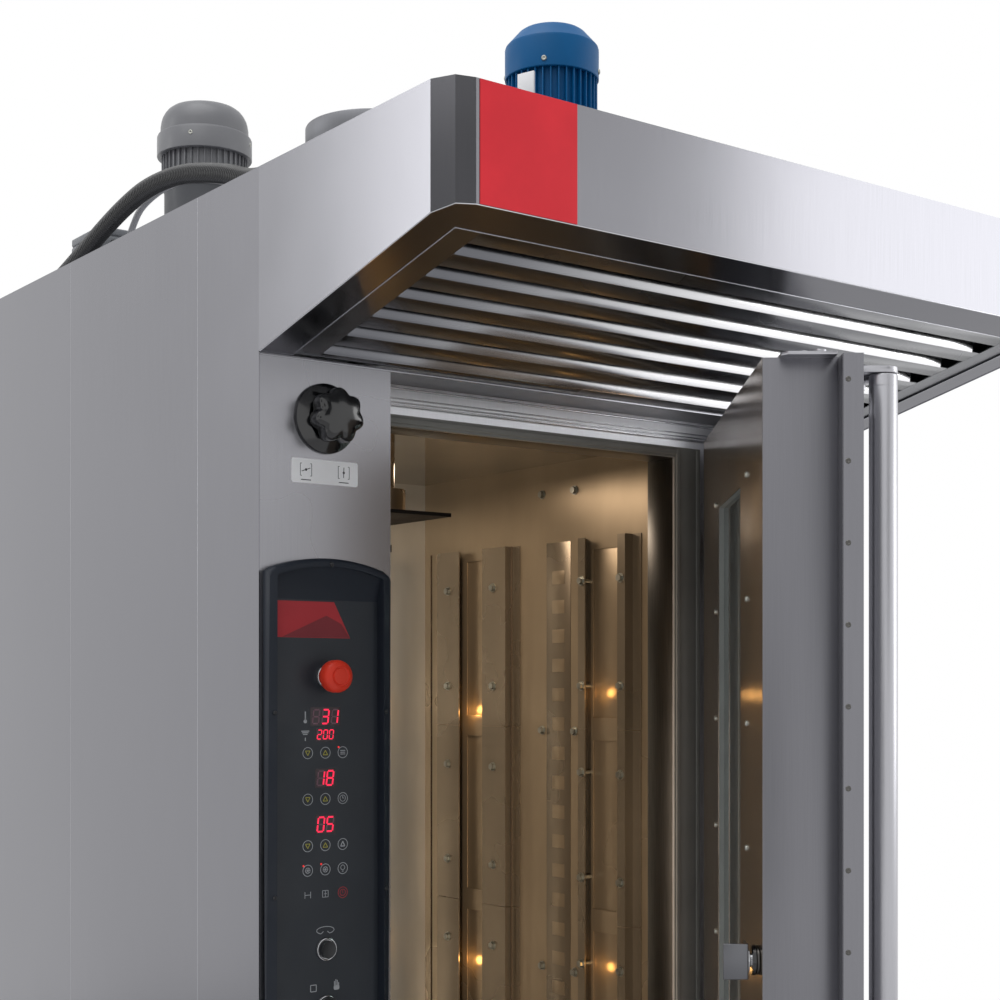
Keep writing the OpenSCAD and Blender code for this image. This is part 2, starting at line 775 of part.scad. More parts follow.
module fan_motor() color("gray") translate([0, fan_y, roof_z]) {
    foot = fan_motor_r * 2.55;
    foot_t = 6;
    tube_r = fan_motor_r * 0.83;
    tube_wall = 12;
    difference() {
        union() {
            translate([-foot / 2, -foot / 2, 0]) cube([foot, foot, foot_t]);
            cylinder(r = tube_r, h = stand_h, $fn = 72);
        }
        translate([0, 0, -1]) cylinder(r = tube_r - tube_wall, h = stand_h - 9, $fn = 72);
        translate([0, 0, -1]) cylinder(r = fan_shaft_r + 4, h = stand_h + 2, $fn = 48);
        for (a = [0, 90])
            rotate([0, 0, a]) translate([-foot / 2, -tube_r * 0.4, stand_h / 4])
                cube([foot, tube_r * 0.8, stand_h / 2]);
    }
    translate([0, 0, stand_h])
        motor(fan_motor_r, fan_motor_h, 101,
            [[1, 60], [0.93, 57], [0.92, 40], [0.86, 22], [0.75, 9], [0.6, 2], [0.4, 0]],
            fan_shaft_r + fit, 30, 90);
}

gear_box_x = [-80, 200];
gear_box_y = [-75, 75];
gear_box_h = 130;
gear_lift = 14;
gear_hub_h = 12;
gear_top = roof_z + gear_lift + gear_box_h + gear_hub_h;

// Right-angle gear unit with a hollow output hub and its motor upright beside the hub
module gear_motor() color("slategray") {
    motor_x = gear_box_x[1] - 62;
    difference() {
        union() {
            slab(gear_box_x, gear_box_y, [roof_z + gear_lift, gear_top - gear_hub_h]);
            rod_z(0, 0, roof_z + gear_lift, gear_top, 48);
            rod_z(motor_x, 0, gear_top - gear_hub_h - 1, gear_top, 60);
            rod_z(motor_x, 0, gear_top - 1, roof_z + gear_motor_h, 52);
        }
        rod_z(0, 0, roof_z, gear_top + 1, spindle_r + fit);
    }
}

module spindle_bearing() color("silver") {
    difference() {
        union() {
            rod_z(0, 0, roof_z, roof_z + gear_lift, 85);
            rod_z(0, 0, ceiling_z, roof_z + 1, spindle_r + bearing_wall);
        }
        rod_z(0, 0, ceiling_z - 1, roof_z + gear_lift + 1, spindle_r + fit);
    }
}

module rack_spindle() color("dimgray") {
    collar_h = 8;
    rod_z(0, 0, carrier_z + carrier_t, gear_top + collar_h, spindle_r);
    rod_z(0, 0, carrier_z + carrier_t, carrier_z + carrier_t + 40, spindle_r + 18);
    rod_z(0, 0, gear_top + rest_gap, gear_top + collar_h, spindle_r + 9);
}

carrier_y = [-80, 130];
carrier_half = 83;

module rack_carrier() color("black") {
    slab([-carrier_half, carrier_half], carrier_y, [carrier_z, carrier_z + carrier_t]);
    for (y = [-40, 30]) {
        slab([-46, -34], [y, y + 12], [carrier_z - 60, carrier_z + 1]);
        slab([-46, -8], [y, y + 12], [carrier_z - 60, carrier_z - 48]);
    }
}

module circulation_fan() color("silver") translate([0, fan_y, partition_z + liner_t + 22]) {
    wheel_h = 90;
    difference() {
        cylinder(r = fan_r, h = 3, $fn = 96);
        translate([0, 0, -1]) cylinder(r = fan_r * 0.6, h = 5, $fn = 96);
    }
    translate([0, 0, wheel_h - 3]) cylinder(r = fan_r, h = 3, $fn = 96);
    for (i = [0 : fan_blades - 1]) rotate([0, 0, i * 360 / fan_blades])
        translate([fan_r * 0.62, 0, 2]) rotate([0, 0, 38])
            cube([fan_r * 0.42, 2.5, wheel_h - 4]);
    translate([0, 0, wheel_h - 40]) cylinder(r = 34, h = 40, $fn = 48);
    translate([0, 0, wheel_h - 40])
        cylinder(r = fan_shaft_r, h = roof_z + stand_h + 38 - partition_z - liner_t - 22
            - wheel_h + 40, $fn = 48);
}

module extractor_fan() color("gray") translate([0, extractor_y, roof_z - 110]) {
    wheel_h = 70;
    cylinder(r = extractor_r * 0.4, h = 30, $fn = 48);
    translate([0, 0, wheel_h - 3]) cylinder(r = extractor_r, h = 3, $fn = 72);
    difference() {
        cylinder(r = extractor_r, h = 3, $fn = 72);
        translate([0, 0, -1]) cylinder(r = extractor_r * 0.7, h = 5, $fn = 72);
    }
    for (i = [0 : 15]) rotate([0, 0, i * 22.5])
        translate([extractor_r * 0.72, 0, 2]) rotate([0, 0, 20])
            cube([extractor_r * 0.24, 2, wheel_h - 4]);
    cylinder(r = extractor_shaft_r, h = 110 + 38, $fn = 48);
}

// ---------------------------------------------------------------- controls

module arched(w, shoulder, top, bottom) {
    rise = top - shoulder;
    arc_r = (w * w / 4 + rise * rise) / (2 * rise);
    translate([-w / 2, bottom]) square([w, shoulder - bottom]);
    intersection() {
        translate([0, top - arc_r]) circle(r = arc_r, $fn = 180);
        translate([-w / 2, bottom]) square([w, top - bottom]);
    }
}

module control_fascia() color("darkslategray")
    translate([fascia_mid, front_y, 0]) rotate([90, 0, 0])
        difference() {
            linear_extrude(fascia_d)
                arched(fascia_w, fascia_shoulder, fascia_top, fascia_bottom);
            translate([0, 0, -1]) linear_extrude(fascia_d + 2)
                arched(fascia_w - 2 * fascia_rim, fascia_shoulder - fascia_rim,
                    fascia_top - fascia_rim, fascia_bottom + fascia_rim);
        }

module control_panel() color("darkslateblue")
    difference() {
        translate([fascia_mid, front_y, 0]) rotate([90, 0, 0])
            linear_extrude(panel_t)
                arched(fascia_w - 2 * fascia_rim, fascia_shoulder - fascia_rim,
                    fascia_top - fascia_rim, fascia_bottom + fascia_rim);
        for (z = [estop_z, button_z, selector_z])
            rod_y(control_x, z, panel_y - 1, front_y + 1, switch_r + 3);
    }

// A collar through the panel with a nut behind the column's sheet
module collar(z, r, proud)
    difference() {
        union() {
            rod_y(control_x, z, panel_y - proud, panel_y, r);
            rod_y(control_x, z, panel_y, front_y + 40, switch_r + 3 - hole_slack);
            rod_y(control_x, z, front_y + skin_t, front_y + 40, r);
        }
        rod_y(control_x, z, panel_y - proud - 1, front_y + 30, switch_r + fit);
    }

module switch_collars() color("silver") {
    collar(estop_z, collar_r, 6);
    collar(button_z, collar_r, 5);
    collar(selector_z, collar_r, 5);
}

// The emergency stop stands released at rest
module estop_button() color("red") {
    face = 38;
    rod_y(control_x, estop_z, panel_y - face + 14, front_y + 20, switch_r);
    rod_y(control_x, estop_z, panel_y - face + 3, panel_y - 10 - estop_travel, estop_r);
    translate([control_x, panel_y - face + 3, estop_z]) rotate([90, 0, 0])
        cylinder(r1 = estop_r, r2 = estop_r - 5, h = 3, $fn = 48);
}

module push_button() color("black") {
    rod_y(control_x, button_z, panel_y - 5 - button_travel - 1, front_y + 20, switch_r);
}

module selector_knob() color("black") {
    rod_y(control_x, selector_z, panel_y - 5 - 2, front_y + 24, switch_r);
    translate([control_x - 4, panel_y - 5 - 16, selector_z - switch_r])
        cube([8, 16 - rest_gap, 2 * switch_r]);
    rod_y(control_x, selector_z, panel_y - 5 - 5, panel_y - 5 - rest_gap, collar_r - 1);
}

module knob_bezel() color("black")
    difference() {
        union() {
            rod_y(knob_x, knob_z, front_y - 8, front_y, bezel_r);
            translate([knob_x, front_y - 8, knob_z]) rotate([90, 0, 0])
                cylinder(r1 = bezel_r, r2 = bezel_r - 9, h = 6, $fn = 64);
        }
        rod_y(knob_x, knob_z, front_y - 15, front_y + 1, damper_shaft_r + fit);
    }

module damper_knob() color("black")
    difference() {
        translate([knob_x, front_y - 14 - rest_gap, knob_z]) rotate([90, 0, 0])
            linear_extrude(knob_proud - 14 - rest_gap) {
                circle(r = knob_r * 0.78, $fn = 64);
                for (i = [0 : knob_lobes - 1]) rotate(i * 360 / knob_lobes)
                    translate([knob_r * 0.78, 0]) circle(r = knob_r * 0.22, $fn = 32);
            }
        rod_y(knob_x, knob_z, front_y - knob_proud + 10, front_y, damper_shaft_r);
    }

// Shaft and butterfly flap, closed at rest
module damper_flap() color("silver") {
    clear = 0.5;
    rod_y(knob_x, knob_z, front_y - knob_proud + 10, frame_y - skin_t - 2 * clear,
        damper_shaft_r);
    slab([duct_x0 + skin_t + clear, duct_x1 - skin_t - clear],
        [duct_y0 + skin_t + clear, frame_y - skin_t - clear], [knob_z - 1, knob_z + 1]);
}

// ---------------------------------------------------------------- roof wiring

jbox = [80, 110, 60];
jbox_at = [-438, 141];
jbox_foot = 40;
// Outlet blocks on the roof that the conduit runs between
outlet_w = 44;
outlet_d = 34;
outlet_h = 54;
outlet_gap = [2.5, 1.7];

module junction_box() color("gray") translate([jbox_at[0], jbox_at[1], roof_z]) {
    translate([0, 0, jbox_foot]) cube(jbox);
    for (x = [8, jbox[0] - 20]) translate([x, 30, 0]) cube([12, 50, jbox_foot]);
    for (x = [26, 58]) translate([x, -14, jbox_foot + 30]) rotate([-90, 0, 0])
        cylinder(r = 11, h = 14, $fn = 6);
    for (y = cable_ends) translate([cable_x, y, 0]) cylinder(r = 11, h = 10, $fn = 6);
    // Each outlet stands clear of the conduit's slanting end
    for (y = [conduit_ends[0] - outlet_d - outlet_gap[0], conduit_ends[1] + outlet_gap[1]])
        translate([conduit_x - outlet_w / 2, y, 0]) cube([outlet_w, outlet_d, outlet_h]);
}

// Centre lines of the two runs, measured from the junction box's corner on the roof
conduit_x = -20;
conduit_ends = [-600, 150];
conduit_route = [for (p = [[conduit_ends[0], 30], [-534, 40], [-468, 62], [-402, 80], [-336, 94],
    [-270, 101], [-204, 101], [-138, 92], [-72, 78], [-6, 61], [60, 44], [105, 34],
    [conduit_ends[1], 30]]) [conduit_x, p[0], p[1]]];
cable_x = 13;
cable_ends = [-500, -70];
cable_route = [for (p = [[cable_ends[0], 10], [cable_ends[0], 26], [-482, 46], [-445, 62],
    [-390, 80], [-322, 99], [-221, 111], [-135, 102], [-96, 78], [-76, 50],
    [cable_ends[1], 26], [cable_ends[1], 10]]) [cable_x, p[0], p[1]]];

function mix(a, b, t) = a + (b - a) * t;
// Point on a smooth curve through route, at s = 0 .. len - 1
function spline(p, s) = let (i = min(floor(s), len(p) - 2), t = s - i,
    a = p[max(i - 1, 0)], b = p[i], c = p[i + 1], d = p[min(i + 2, len(p) - 1)])
    0.5 * ((2 * b) + (c - a) * t + (2 * a - 5 * b + 4 * c - d) * t * t
        + (3 * b - a - 3 * c + d) * t * t * t);

function unit(v) = v / norm(v);
function cross_dir(t) = unit(cross(t, abs(t[0]) > 0.9 ? [0, 1, 0] : [1, 0, 0]));

function ring(c, t, r, sides) = let (u = cross_dir(t), v = cross(t, u))
    [for (k = [0 : sides - 1]) c + r * cos(360 * k / sides) * u + r * sin(360 * k / sides) * v];

// Rings of a tube along route, one for each radius
function rings(route, radii, sides) = let (n = len(radii), last = len(route) - 1,
    at = [for (k = [0 : n - 1]) spline(route, last * k / (n - 1))],
    dir = [for (k = [0 : n - 1]) k == 0 ? unit(route[1] - route[0])
        : k == n - 1 ? unit(route[last] - route[last - 1])
        : unit(at[k + 1] - at[k - 1])])
    [for (k = [0 : n - 1]) each ring(at[k], dir[k], radii[k], sides)];

// Triangles between the rings that start at point `off`; `flip` turns them inward
function wall_faces(n, sides, off, flip) = [for (k = [0 : n - 2]) for (j = [0 : sides - 1])
    let (a = off + k * sides + j, b = off + k * sides + (j + 1) % sides,
        c = a + sides, d = b + sides)
    each flip ? [[a, c, b], [b, c, d]] : [[a, b, c], [b, d, c]]];

// Triangles between the outer ring at point a0 and the inner ring at point c0
function end_faces(sides, a0, c0, flip) = [for (j = [0 : sides - 1])
    let (a = a0 + j, b = a0 + (j + 1) % sides, c = c0 + j, d = c0 + (j + 1) % sides)
    each flip ? [[a, b, c], [b, d, c]] : [[a, c, b], [b, c, d]]];

module hose(route, radii, bore, bore_rings, sides) {
    n = len(radii);
    m = n * sides;
    far = (n - 1) * sides;
    polyhedron(points = concat(rings(route, radii, sides),
            rings(route, [for (k = [1 : bore_rings]) bore], sides)),
        faces = concat(wall_faces(n, sides, 0, false),
            wall_faces(bore_rings, sides, m, true),
            end_faces(sides, 0, m, false),
            end_faces(sides, far, m + (bore_rings - 1) * sides, true)),
        convexity = 6);
}

module cord(route, radius, n, sides)
    polyhedron(points = rings(route, [for (k = [1 : n]) radius], sides),
        faces = concat(wall_faces(n, sides, 0, false),
            [[for (j = [0 : sides - 1]) sides - 1 - j]],
            [[for (j = [0 : sides - 1]) (n - 1) * sides + j]]),
        convexity = 6);

conduit_r = 13.5;
conduit_groove = 2;
conduit_bore = 9.5;
conduit_ribs = 104;
plain_rings = 5;
cable_r = 5;

module roof_conduit() color("black") translate([jbox_at[0], jbox_at[1], roof_z])
    hose(conduit_route, concat(
        [for (k = [1 : plain_rings]) conduit_r - conduit_groove],
        [for (k = [1 : conduit_ribs]) each [conduit_r, conduit_r - conduit_groove]],
        [for (k = [1 : plain_rings]) conduit_r - conduit_groove]), conduit_bore, 44, 8);

module grey_cable() color("lightgray") translate([jbox_at[0], jbox_at[1], roof_z])
    cord(cable_route, cable_r, 40, 8);

// ---------------------------------------------------------------- door

leaf_w = 44;
leaf_t = 3;

module column_hinges() color("gray")
    for (z = hinge_zs) {
        rod_z(hinge_x, hinge_y, z - hinge_h / 2, z - rest_gap / 2, knuckle_r);
        rod_z(hinge_x, hinge_y, z - hinge_h / 2, z + hinge_h / 2, hinge_pin_r);
        slab([hinge_x + 1.4, hinge_x + leaf_w], [front_y - leaf_t, front_y],
            [z - hinge_h / 2, z - rest_gap / 2]);
    }

module door_hinges() color("gray") door_place()
    for (z = hinge_zs) difference() {
        union() {
            rod_z(hinge_x, hinge_y, z + rest_gap / 2, z + hinge_h / 2, knuckle_r);
            slab([hinge_x - leaf_w, hinge_x], [door_out_y - leaf_t, door_out_y],
                [z + rest_gap / 2, z + hinge_h / 2]);
        }
        rod_z(hinge_x, hinge_y, z - 1, z + hinge_h / 2 + 1, hinge_pin_r + fit);
    }

// Room for the hinge knuckles in the door's edge
module knuckle_room(slack)
    for (z = hinge_zs)
        rod_z(hinge_x, hinge_y, z - hinge_h / 2 - 1, z + hinge_h / 2 + 1, knuckle_r + slack);

module window_cut(y0, y1, grow)
    slab([window_x0 - grow, window_x1 + grow], [y0, y1],
        [window_bottom - grow, door_top - window_head + grow]);

module door_skin() color("gainsboro") door_place()
    difference() {
        slab([skin_free_x, hinge_x], [door_out_y, door_box_y], [door_bottom, door_top]);
        slab([skin_free_x + skin_t, hinge_x - skin_t], [door_out_y + skin_t, door_box_y + 1],
            [door_bottom + skin_t, door_top - skin_t]);
        window_cut(door_out_y - 1, door_box_y + 1, 0);
        knuckle_room(0.6);
    }

module door_liner() color("silver") door_place()
    difference() {
        slab([door_free_x, hinge_x], [door_box_y, door_in_y], [door_bottom, door_top]);
        slab([door_free_x + skin_t, hinge_x - skin_t], [door_box_y - 1, door_in_y - skin_t],
            [door_bottom + skin_t, door_top - skin_t]);
        window_cut(door_box_y - 1, door_in_y + 1, 0);
        rod_y(latch_x, latch_z, door_box_y, door_in_y + 1, bush_r + hole_slack);
    }

module door_core() color("khaki") door_place()
    difference() {
        union() {
            slab([skin_free_x + skin_t, hinge_x - skin_t], [door_out_y + skin_t, door_box_y],
                [door_bottom + skin_t, door_top - skin_t]);
            slab([door_free_x + skin_t, hinge_x - skin_t], [door_box_y - 1, door_in_y - skin_t],
                [door_bottom + skin_t, door_top - skin_t]);
        }
        window_cut(door_out_y, door_in_y, frame_wall);
        knuckle_room(1.2);
        rod_y(latch_x, latch_z, door_box_y - 2, door_in_y, bush_r + hole_slack);
    }

module window_ring(y0, y1, grow, wall)
    difference() {
        window_cut(y0, y1, grow);
        window_cut(y0 - 1, y1 + 1, grow - wall);
    }

module window_frame() color("silver") door_place()
    window_ring(glass_out_y + pane_t, glass_in_y - pane_t, frame_wall, frame_wall);

module door_glass() color("lightsteelblue") door_place() {
    window_cut(glass_in_y - pane_t, glass_in_y, pane_lap);
    window_cut(glass_out_y, glass_out_y + pane_t, pane_lap);
}

module window_gasket() color("lightgray") door_place() {
    window_ring(glass_in_y, door_in_y - skin_t, pane_lap, pane_lap);
    window_ring(door_out_y + skin_t, glass_out_y, pane_lap, pane_lap);
}

edge_screw_pitch = 92;

module door_fittings() color("silver") door_place() {
    // Screws in the free edge
    for (z = [door_bottom + 60 : edge_screw_pitch : door_top - 30])
        translate([skin_free_x, (door_out_y + door_box_y) / 2, z]) rotate([0, -90, 0])
            cylinder(r1 = 4, r2 = 3, h = 0.8, $fn = 24);
    // Catch plate on the top edge
    slab([skin_free_x + 8, skin_free_x + 78], [door_out_y + 26, door_out_y + 90],
        [door_top, door_top + 4]);
    rod_z(skin_free_x + 52, door_out_y + 58, door_top + 3, door_top + 9, 14);
    // Latch bush
    difference() {
        union() {
            rod_y(latch_x, latch_z, door_box_y, door_in_y, bush_r);
            rod_y(latch_x, latch_z, door_in_y, door_in_y + 3, bush_r + 5);
        }
        rod_y(latch_x, latch_z, door_box_y - 1, door_in_y + 4, latch_r + fit);
    }
}

bracket_top_z = door_top - bracket_t;
pin_l = arm_t + rest_gap + 6;

// Bracket plates past both ends of the handle, each with a foot on the door and a pivot pin
module handle_brackets() color("silver") door_place() {
    foot = 40;
    for (upper = [true, false]) {
        z = upper ? bracket_top_z : handle_bottom - bracket_t - rest_gap;
        slab([handle_x - handle_r, pivot_x + handle_r], [handle_y, door_out_y],
            [z, z + bracket_t]);
        rod_z(handle_x, handle_y, z, z + bracket_t, handle_r);
        slab([handle_x - handle_r, pivot_x + handle_r], [door_out_y - 4, door_out_y],
            [upper ? z - foot : z, upper ? z + bracket_t : z + foot]);
        rod_z(pivot_x, pivot_y, upper ? z - pin_l : z, upper ? z + 1 : z + bracket_t + pin_l,
            handle_pin_r);
    }
}

module door_handle() color("silver") door_place() {
    top = bracket_top_z - rest_gap;
    rod_z(handle_x, handle_y, handle_bottom, top, handle_r);
    for (z = [top - arm_t, handle_bottom]) difference() {
        hull() {
            translate([handle_x, handle_y, z]) cylinder(r = handle_r - 4, h = arm_t, $fn = 32);
            translate([pivot_x, pivot_y, z]) cylinder(r = handle_pin_r + 5, h = arm_t, $fn = 32);
        }
        rod_z(pivot_x, pivot_y, z - 1, z + arm_t + 1, handle_pin_r + fit);
    }
}

module latch_tongue() color("silver") door_place() {
    tip = door_in_y + latch_proud;
    rod_y(latch_x, latch_z, door_box_y + 4, tip - tongue_d + 8, latch_r);
    rod_y(latch_x, latch_z, door_in_y + 3 + rest_gap, door_in_y + 9, tongue_h / 2 - 3);
    slab([latch_x - 14, latch_x - 14 + tongue_t], [tip - tongue_d, tip],
        [latch_z - tongue_h / 2, latch_z + tongue_h / 2]);
    slab([latch_x - 14, latch_x + 14], [tip - tongue_d, tip - tongue_d + tongue_t],
        [latch_z - tongue_h / 2, latch_z + tongue_h / 2]);
}

// ---------------------------------------------------------------- parts shown

base_frame();
entry_ramp();
insulation_packs();
plenum_shell();
chamber_floor();
left_wall();
right_wall();
back_wall();
chamber_ceiling();
air_louvres();
wall_bolts();
heater_partitions();
heater_elements();
chamber_lamps();
left_panels();
right_panels();
rear_panel();
roof_panel();
left_column();
right_column();
door_frame();
frame_gasket();
extractor_box();
steam_duct();
hood_shell();
hood_baffle();
sign_plate();
flue_pipe();
extractor_motor();
fan_motor();
gear_motor();
spindle_bearing();
knob_bezel();
control_fascia();
control_panel();
switch_collars();
junction_box();
roof_conduit();
grey_cable();
column_hinges();
door_skin();
door_liner();
door_core();
window_frame();
door_glass();
window_gasket();
door_hinges();
handle_brackets();
door_fittings();
door_handle();
latch_tongue();
rack_spindle();
rack_carrier();
circulation_fan();
extractor_fan();
damper_knob();
damper_flap();
estop_button();
push_button();
selector_knob();
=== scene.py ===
"""Rotating rack oven: materials, finished pieces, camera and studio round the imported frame."""

import math

import bmesh
import bpy
from mathutils import Matrix, Vector


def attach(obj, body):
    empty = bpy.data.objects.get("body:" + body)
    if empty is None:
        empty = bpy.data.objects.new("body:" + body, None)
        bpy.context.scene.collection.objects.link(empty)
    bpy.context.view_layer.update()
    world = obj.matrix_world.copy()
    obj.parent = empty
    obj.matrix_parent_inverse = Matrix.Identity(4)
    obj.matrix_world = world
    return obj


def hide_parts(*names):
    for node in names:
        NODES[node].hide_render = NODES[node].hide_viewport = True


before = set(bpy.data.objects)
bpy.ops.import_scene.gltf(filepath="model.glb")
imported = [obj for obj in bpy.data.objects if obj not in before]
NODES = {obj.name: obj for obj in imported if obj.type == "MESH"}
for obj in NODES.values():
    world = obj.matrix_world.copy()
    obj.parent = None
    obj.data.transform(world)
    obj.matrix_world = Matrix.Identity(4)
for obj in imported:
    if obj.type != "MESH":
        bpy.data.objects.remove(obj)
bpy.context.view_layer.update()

# Places of the oven's own parts, in millimetres, as in the part's source
ROOF_Z = 2200
FRONT_Y = -559
PANEL_Y = -562
CONTROL_X = -447
ESTOP_Z = 1587
BUTTON_Z = 1251
SELECTOR_Z = 1180
KNOB_AT = (-446, 1905)
FAN_Y = 643
EXTRACTOR_Y = -450
FLUE_AT = (-288, -429)
JBOX_AT = (-438, 141)
HOOD_REAR_Z = 1978
HOOD_SLOPE = 0.2327
HINGE_AT = (330.6, -564)
DOOR_REST = 52
DOOR_LOW, DOOR_TOP = 88, 1944
SKIN_FREE_X = -348
BOX_FREE_X = -318.4
DOOR_OUT_Y, DOOR_BOX_Y, DOOR_IN_Y = -572, -549.5, -464
LATCH_AT = (-288, 1262)
OPEN_LEFT, OPEN_RIGHT, OPEN_TOP, SILL = -286, 231, 1924, 80
FRAME_HALF, FRAME_TOP = 536, 1980.5
BASE_Z, RAMP_LEFT = 70, -231.2
FRAME_Y, RETURN_Y = -459, -399
NOTCH_R = 34
SEAL_TOP = 1940


# ---------------------------------------------------------------- modelling by hand


def metres(values):
    """Millimetres to metres."""
    return tuple(v / 1000 for v in values)


def deselect():
    """Nothing selected, so that the next operator acts on its own piece alone."""
    if bpy.context.object and bpy.context.object.mode != "OBJECT":
        bpy.ops.object.mode_set(mode="OBJECT")
    bpy.ops.object.select_all(action="DESELECT")


def take(piece):
    """Makes one piece the selected and active one."""
    deselect()
    piece.select_set(True)
    bpy.context.view_layer.objects.active = piece
    return piece


def named(name):
    """Names the piece that an operator has just added."""
    piece = bpy.context.object
    piece.name = name
    piece.data.name = name
    return piece


def pick(piece, kind, wanted):
    """In edit mode, selects the edges or faces whose middle and direction are wanted."""
    take(piece)
    bpy.ops.object.mode_set(mode="EDIT")
    bpy.ops.mesh.select_mode(type=kind)
    bpy.ops.mesh.select_all(action="DESELECT")
    shape = bmesh.from_edit_mesh(piece.data)
    if kind == "EDGE":
        for e in shape.edges:
            ends = [v.co * 1000 for v in e.verts]
            e.select_set(bool(wanted((ends[0] + ends[1]) / 2, ends[1] - ends[0])))
    else:
        for f in shape.faces:
            f.select_set(bool(wanted(f.calc_center_median() * 1000, f.normal)))
    shape.select_flush_mode()
    bmesh.update_edit_mesh(piece.data)


def leave():
    """Back to object mode."""
    bpy.ops.object.mode_set(mode="OBJECT")


def settle(piece):
    """The piece's place goes into its mesh."""
    take(piece)
    bpy.ops.object.transform_apply(location=True, rotation=True, scale=True)
    return piece


def modified(piece, kind, **settings):
    """Adds one modifier and applies it."""
    take(piece)
    change = piece.modifiers.new(kind, kind)
    for key, value in settings.items():
        setattr(change, key, value)
    bpy.ops.object.modifier_apply(modifier=change.name)
    return piece


def softened(piece, width, segments=2, angle=30):
    """Small round on the sharp edges, then smooth shading that keeps the flats flat."""
    modified(piece, "BEVEL", width=width / 1000, segments=segments, limit_method="ANGLE",
             angle_limit=math.radians(angle), harden_normals=False)
    take(piece)
    bpy.ops.object.shade_smooth_by_angle(angle=math.radians(35))
    return piece


def outward(piece):
    """Doubles merged and every face turned outwards."""
    take(piece)
    bpy.ops.object.mode_set(mode="EDIT")
    bpy.ops.mesh.select_all(action="SELECT")
    bpy.ops.mesh.remove_doubles(threshold=1e-6)
    bpy.ops.mesh.normals_make_consistent(inside=False)
    leave()
    return piece


def chain(name, points, closed):
    """A line of vertices drawn point by point in the plane y = 0, as (x, z) or (x, y, z)."""
    points = [metres(p if len(p) == 3 else (p[0], 0, p[1])) for p in points]
    deselect()
    bpy.ops.mesh.primitive_plane_add(size=0.01, location=(0, 0, 0))
    piece = named(name)
    bpy.ops.object.mode_set(mode="EDIT")
    bpy.ops.mesh.select_mode(type="VERT")
    bpy.ops.mesh.select_all(action="SELECT")
    bpy.ops.mesh.merge(type="CENTER")
    bpy.ops.transform.translate(value=points[0])
    for before, after in zip(points, points[1:]):
        step = Vector(after) - Vector(before)
        bpy.ops.mesh.extrude_region_move(TRANSFORM_OT_translate={"value": step})
    if closed:
        bpy.ops.mesh.select_all(action="SELECT")
        bpy.ops.mesh.edge_face_add()
    leave()
    return piece


def turned(name, profile, at, axis="Z", steps=48, smooth=32):
    """A part turned on a lathe from its profile of (radius, height), set at a place in mm.
    Axis Y points the height towards the front, -Y."""
    piece = chain(name, profile, False)
    bpy.ops.object.mode_set(mode="EDIT")
    bpy.ops.mesh.select_all(action="SELECT")
    bpy.ops.mesh.spin(steps=steps, angle=2 * math.pi, center=(0, 0, 0), axis=(0, 0, 1))
    leave()
    outward(piece)
    if axis == "Y":
        piece.rotation_euler = (math.radians(90), 0, 0)
    piece.location = metres(at)
    settle(piece)
    bpy.ops.object.shade_smooth_by_angle(angle=math.radians(smooth))
    return piece


def block(name, low, high, edge=1.0, segments=2):
    """A box drawn at its size and place, with rounded edges."""
    low, high = Vector(metres(low)), Vector(metres(high))
    deselect()
    bpy.ops.mesh.primitive_cube_add(size=1, location=(low + high) / 2, scale=high - low)
    return softened(settle(named(name)), edge, segments)


def plate(name, outline, y_front, thick, hole=0.0):
    """A flat part cut to an outline of (x, z), its front at y_front. A hole leaves a rim."""
    piece = chain(name, outline, True)
    if hole:
        pick(piece, "FACE", lambda c, n: True)
        bpy.ops.mesh.inset(thickness=hole / 1000)
        bpy.ops.mesh.delete(type="FACE")
        leave()
    piece.location = (0, (y_front + thick / 2) / 1000, 0)
    settle(piece)
    modified(piece, "SOLIDIFY", thickness=thick / 1000, offset=0)
    return outward(piece)


def tube(name, points, radius, sides):
    """A round bar, hose or bent rod along points in mm, closed at both ends."""
    piece = chain(name, points, False)
    bpy.ops.object.convert(target="CURVE")
    curve = bpy.context.object
    curve.data.dimensions = "3D"
    curve.data.bevel_depth = radius / 1000
    curve.data.bevel_resolution = max(0, sides // 4 - 1)
    curve.data.use_fill_caps = True
    bpy.ops.object.convert(target="MESH")
    piece = outward(bpy.context.object)
    bpy.ops.object.shade_smooth_by_angle(angle=math.radians(40))
    return piece


def copied(piece, name, matrix):
    """A copy with its own mesh, moved by a matrix."""
    twin = piece.copy()
    twin.data = piece.data.copy()
    twin.name = name
    twin.data.transform(matrix)
    bpy.context.scene.collection.objects.link(twin)
    return twin


def row(piece, matrices):
    """The piece repeated at more places and joined to one."""
    twins = [copied(piece, piece.name + "_copy", m) for m in matrices]
    return joined(piece.name, [piece] + twins)


def joined(name, pieces):
    """Several pieces as one object."""
    if len(pieces) > 1:
        deselect()
        for piece in pieces:
            piece.select_set(True)
        bpy.context.view_layer.objects.active = pieces[0]
        bpy.ops.object.join()
    whole = pieces[0]
    whole.name = name
    whole.data.name = name
    return whole


def shift(x=0, y=0, z=0):
    """A move in mm as a matrix."""
    return Matrix.Translation(metres((x, y, z)))


def turn(degrees, axis, at=(0, 0, 0)):
    """A turn about an axis through a place in mm."""
    place = Matrix.Translation(metres(at))
    return place @ Matrix.Rotation(math.radians(degrees), 4, axis) @ place.inverted()


def open_door(piece):
    """From the closed door, where its sizes are plain, to where the door rests."""
    piece.data.transform(turn(DOOR_REST, "Z", (*HINGE_AT, 0)))
    return piece


def finished(piece, body, material, slot, *stands_for):
    """Gives a piece its material and its body, and hides the nodes that it stands for. The slot is not
    used.
    """
    if material:
        piece.data.materials.clear()
        piece.data.materials.append(material)
    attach(piece, body)
    if stands_for:
        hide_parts(*stands_for)
    return piece


# ---------------------------------------------------------------- finishes


